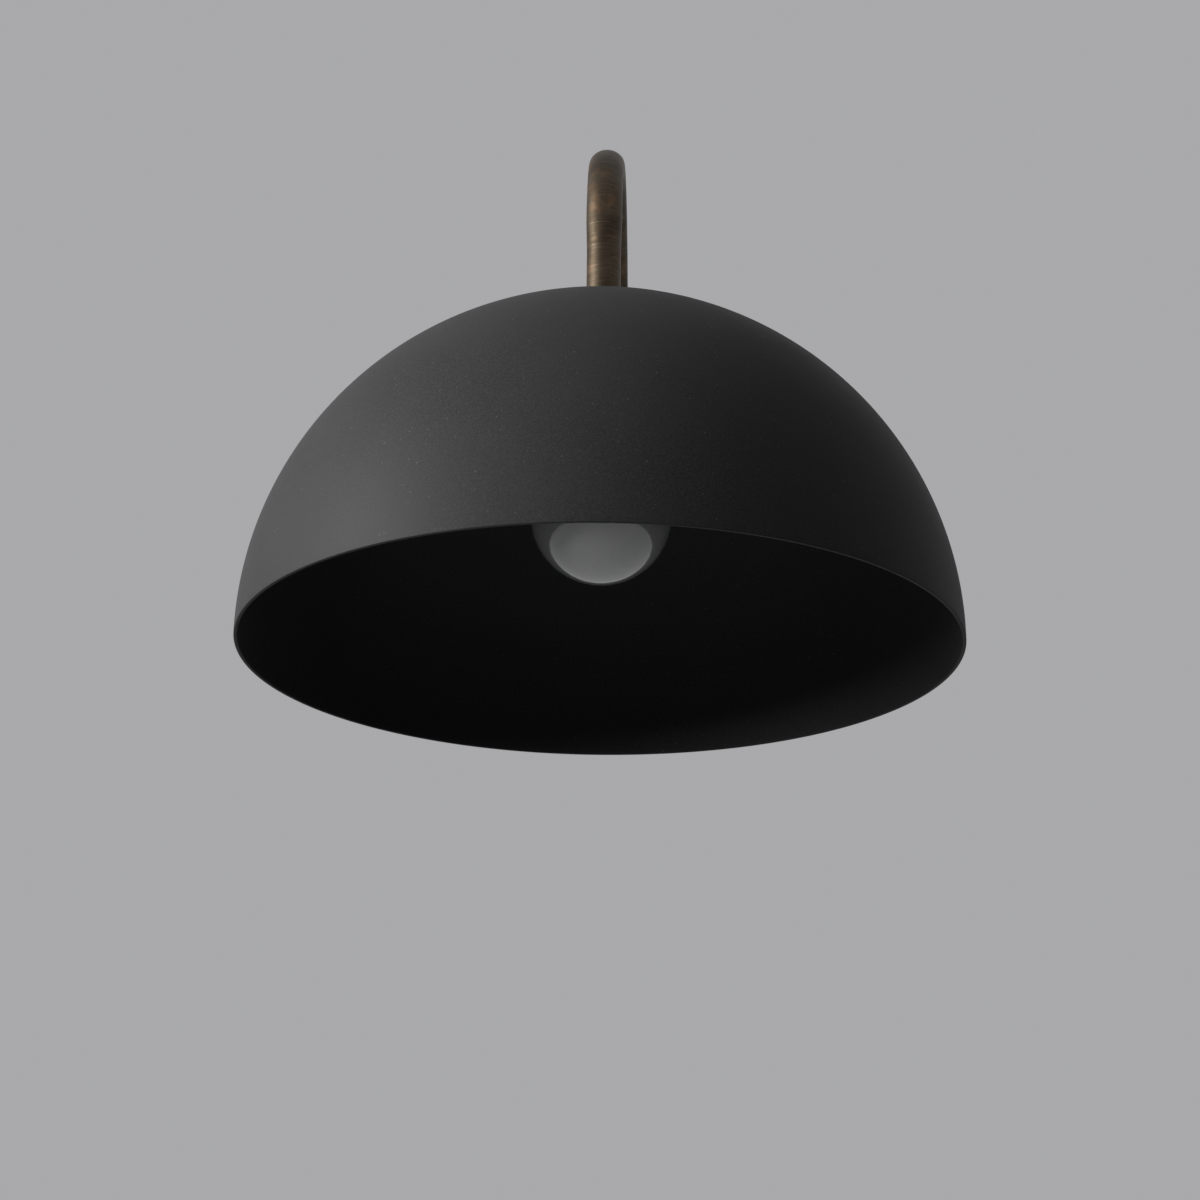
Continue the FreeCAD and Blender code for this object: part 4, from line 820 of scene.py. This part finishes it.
def floor():
    """Pale floor far below. Its glow is only seen, and lights nothing."""
    bm = bmesh.new()
    corners = ((-1, -1), (1, -1), (1, 1), (-1, 1))
    bm.faces.new([bm.verts.new((x * FLOOR_HALF, y * FLOOR_HALF, FLOOR_LEVEL)) for x, y in corners])
    mesh = bpy.data.meshes.new("floor")
    bm.to_mesh(mesh)
    bm.free()
    piece = bpy.data.objects.new("floor", mesh)
    bpy.context.scene.collection.objects.link(piece)
    look = Look("look_floor", Roughness=0.8, Specular_IOR_Level=0.2)
    cloud = look.noise(look.coordinates(), 3.0, 4.0)
    pale = look.mix(cloud, (0.70, 0.70, 0.69), (0.76, 0.76, 0.75))
    seen = seen_share(look.tree)
    look.shader.inputs["Emission Strength"].default_value = 1.0
    look.set(Base_Color=look.mix(seen, (0.20, 0.20, 0.20), pale),
             Emission_Color=look.mix(seen, (0, 0, 0), (0.34, 0.34, 0.345)))
    mesh.materials.append(look.material)


def lamp(name, place, width, height, power):
    """A soft box that faces the shade."""
    data = bpy.data.lights.new(name, "AREA")
    data.shape = "RECTANGLE"
    data.size = width
    data.size_y = height
    data.energy = power
    made = bpy.data.objects.new(name, data)
    made.location = place
    made.rotation_euler = (LAMP_AIM - Vector(place)).to_track_quat("-Z", "Y").to_euler()
    bpy.context.scene.collection.objects.link(made)


def seen_share(tree):
    """1 for rays that show the surroundings, in view, in gloss or through glass, and 0 for the light they give."""
    path = tree.nodes.new("ShaderNodeLightPath")
    share = path.outputs["Is Camera Ray"]
    for name in ("Is Glossy Ray", "Is Transmission Ray"):
        either = tree.nodes.new("ShaderNodeMath")
        either.operation = "MAXIMUM"
        tree.links.new(share, either.inputs[0])
        tree.links.new(path.outputs[name], either.inputs[1])
        share = either.outputs[0]
    return share


def world():
    """Plain pale surroundings where they are seen, and a weak even light."""
    made = bpy.data.worlds.new("studio")
    bpy.context.scene.world = made
    made.use_nodes = True
    tree = made.node_tree
    tree.nodes.clear()
    output = tree.nodes.new("ShaderNodeOutputWorld")
    mixed = tree.nodes.new("ShaderNodeMixShader")
    ambient = tree.nodes.new("ShaderNodeBackground")
    seen = tree.nodes.new("ShaderNodeBackground")
    ambient.inputs["Color"].default_value = (0.95, 0.97, 1.0, 1)
    ambient.inputs["Strength"].default_value = 0.11
    seen.inputs["Color"].default_value = (0.40, 0.40, 0.41, 1)
    seen.inputs["Strength"].default_value = 1.0
    tree.links.new(seen_share(tree), mixed.inputs[0])
    tree.links.new(ambient.outputs[0], mixed.inputs[1])
    tree.links.new(seen.outputs[0], mixed.inputs[2])
    tree.links.new(mixed.outputs[0], output.inputs["Surface"])


def camera():
    """Below the rim and a little to the right, looking up at the shade as the photograph does."""
    radius = SHADE_RADIUS * MM
    turn, pitch, roll = radians(1.95), 0.3393, 0.0105
    aside, away, below = -0.0008 * radius, 7.591 * radius, 2.527 * radius
    right = Vector((cos(turn), sin(turn), 0))
    ahead = Vector((-sin(turn), cos(turn), 0))
    up = Vector((0, 0, 1))
    rim_centre = Vector((0, -REACH, -BRACKET_LEVEL)) * MM
    place = rim_centre + right * aside - ahead * away - up * below
    forward = ahead * cos(pitch) + up * sin(pitch)
    upright = up * cos(pitch) - ahead * sin(pitch)
    side = right * cos(roll) + upright * sin(roll)
    head = upright * cos(roll) - right * sin(roll)
    data = bpy.data.cameras.new("camera")
    data.sensor_width = 36.0
    data.lens = 36.0 * 2912.75 / 1200
    data.clip_start, data.clip_end = 0.01, 50
    made = bpy.data.objects.new("camera", data)
    made.matrix_world = Matrix((
        (side.x, head.x, -forward.x, place.x),
        (side.y, head.y, -forward.y, place.y),
        (side.z, head.z, -forward.z, place.z),
        (0, 0, 0, 1)))
    bpy.context.scene.collection.objects.link(made)
    bpy.context.scene.camera = made


floor()
world()
lamp("key", (-1.67, -0.65, 0.45), 0.7, 1.5, 43)
lamp("low_key", (-1.47, -1.23, 0.13), 0.7, 0.7, 18)
camera()
bpy.context.scene.view_settings.view_transform = "Standard"
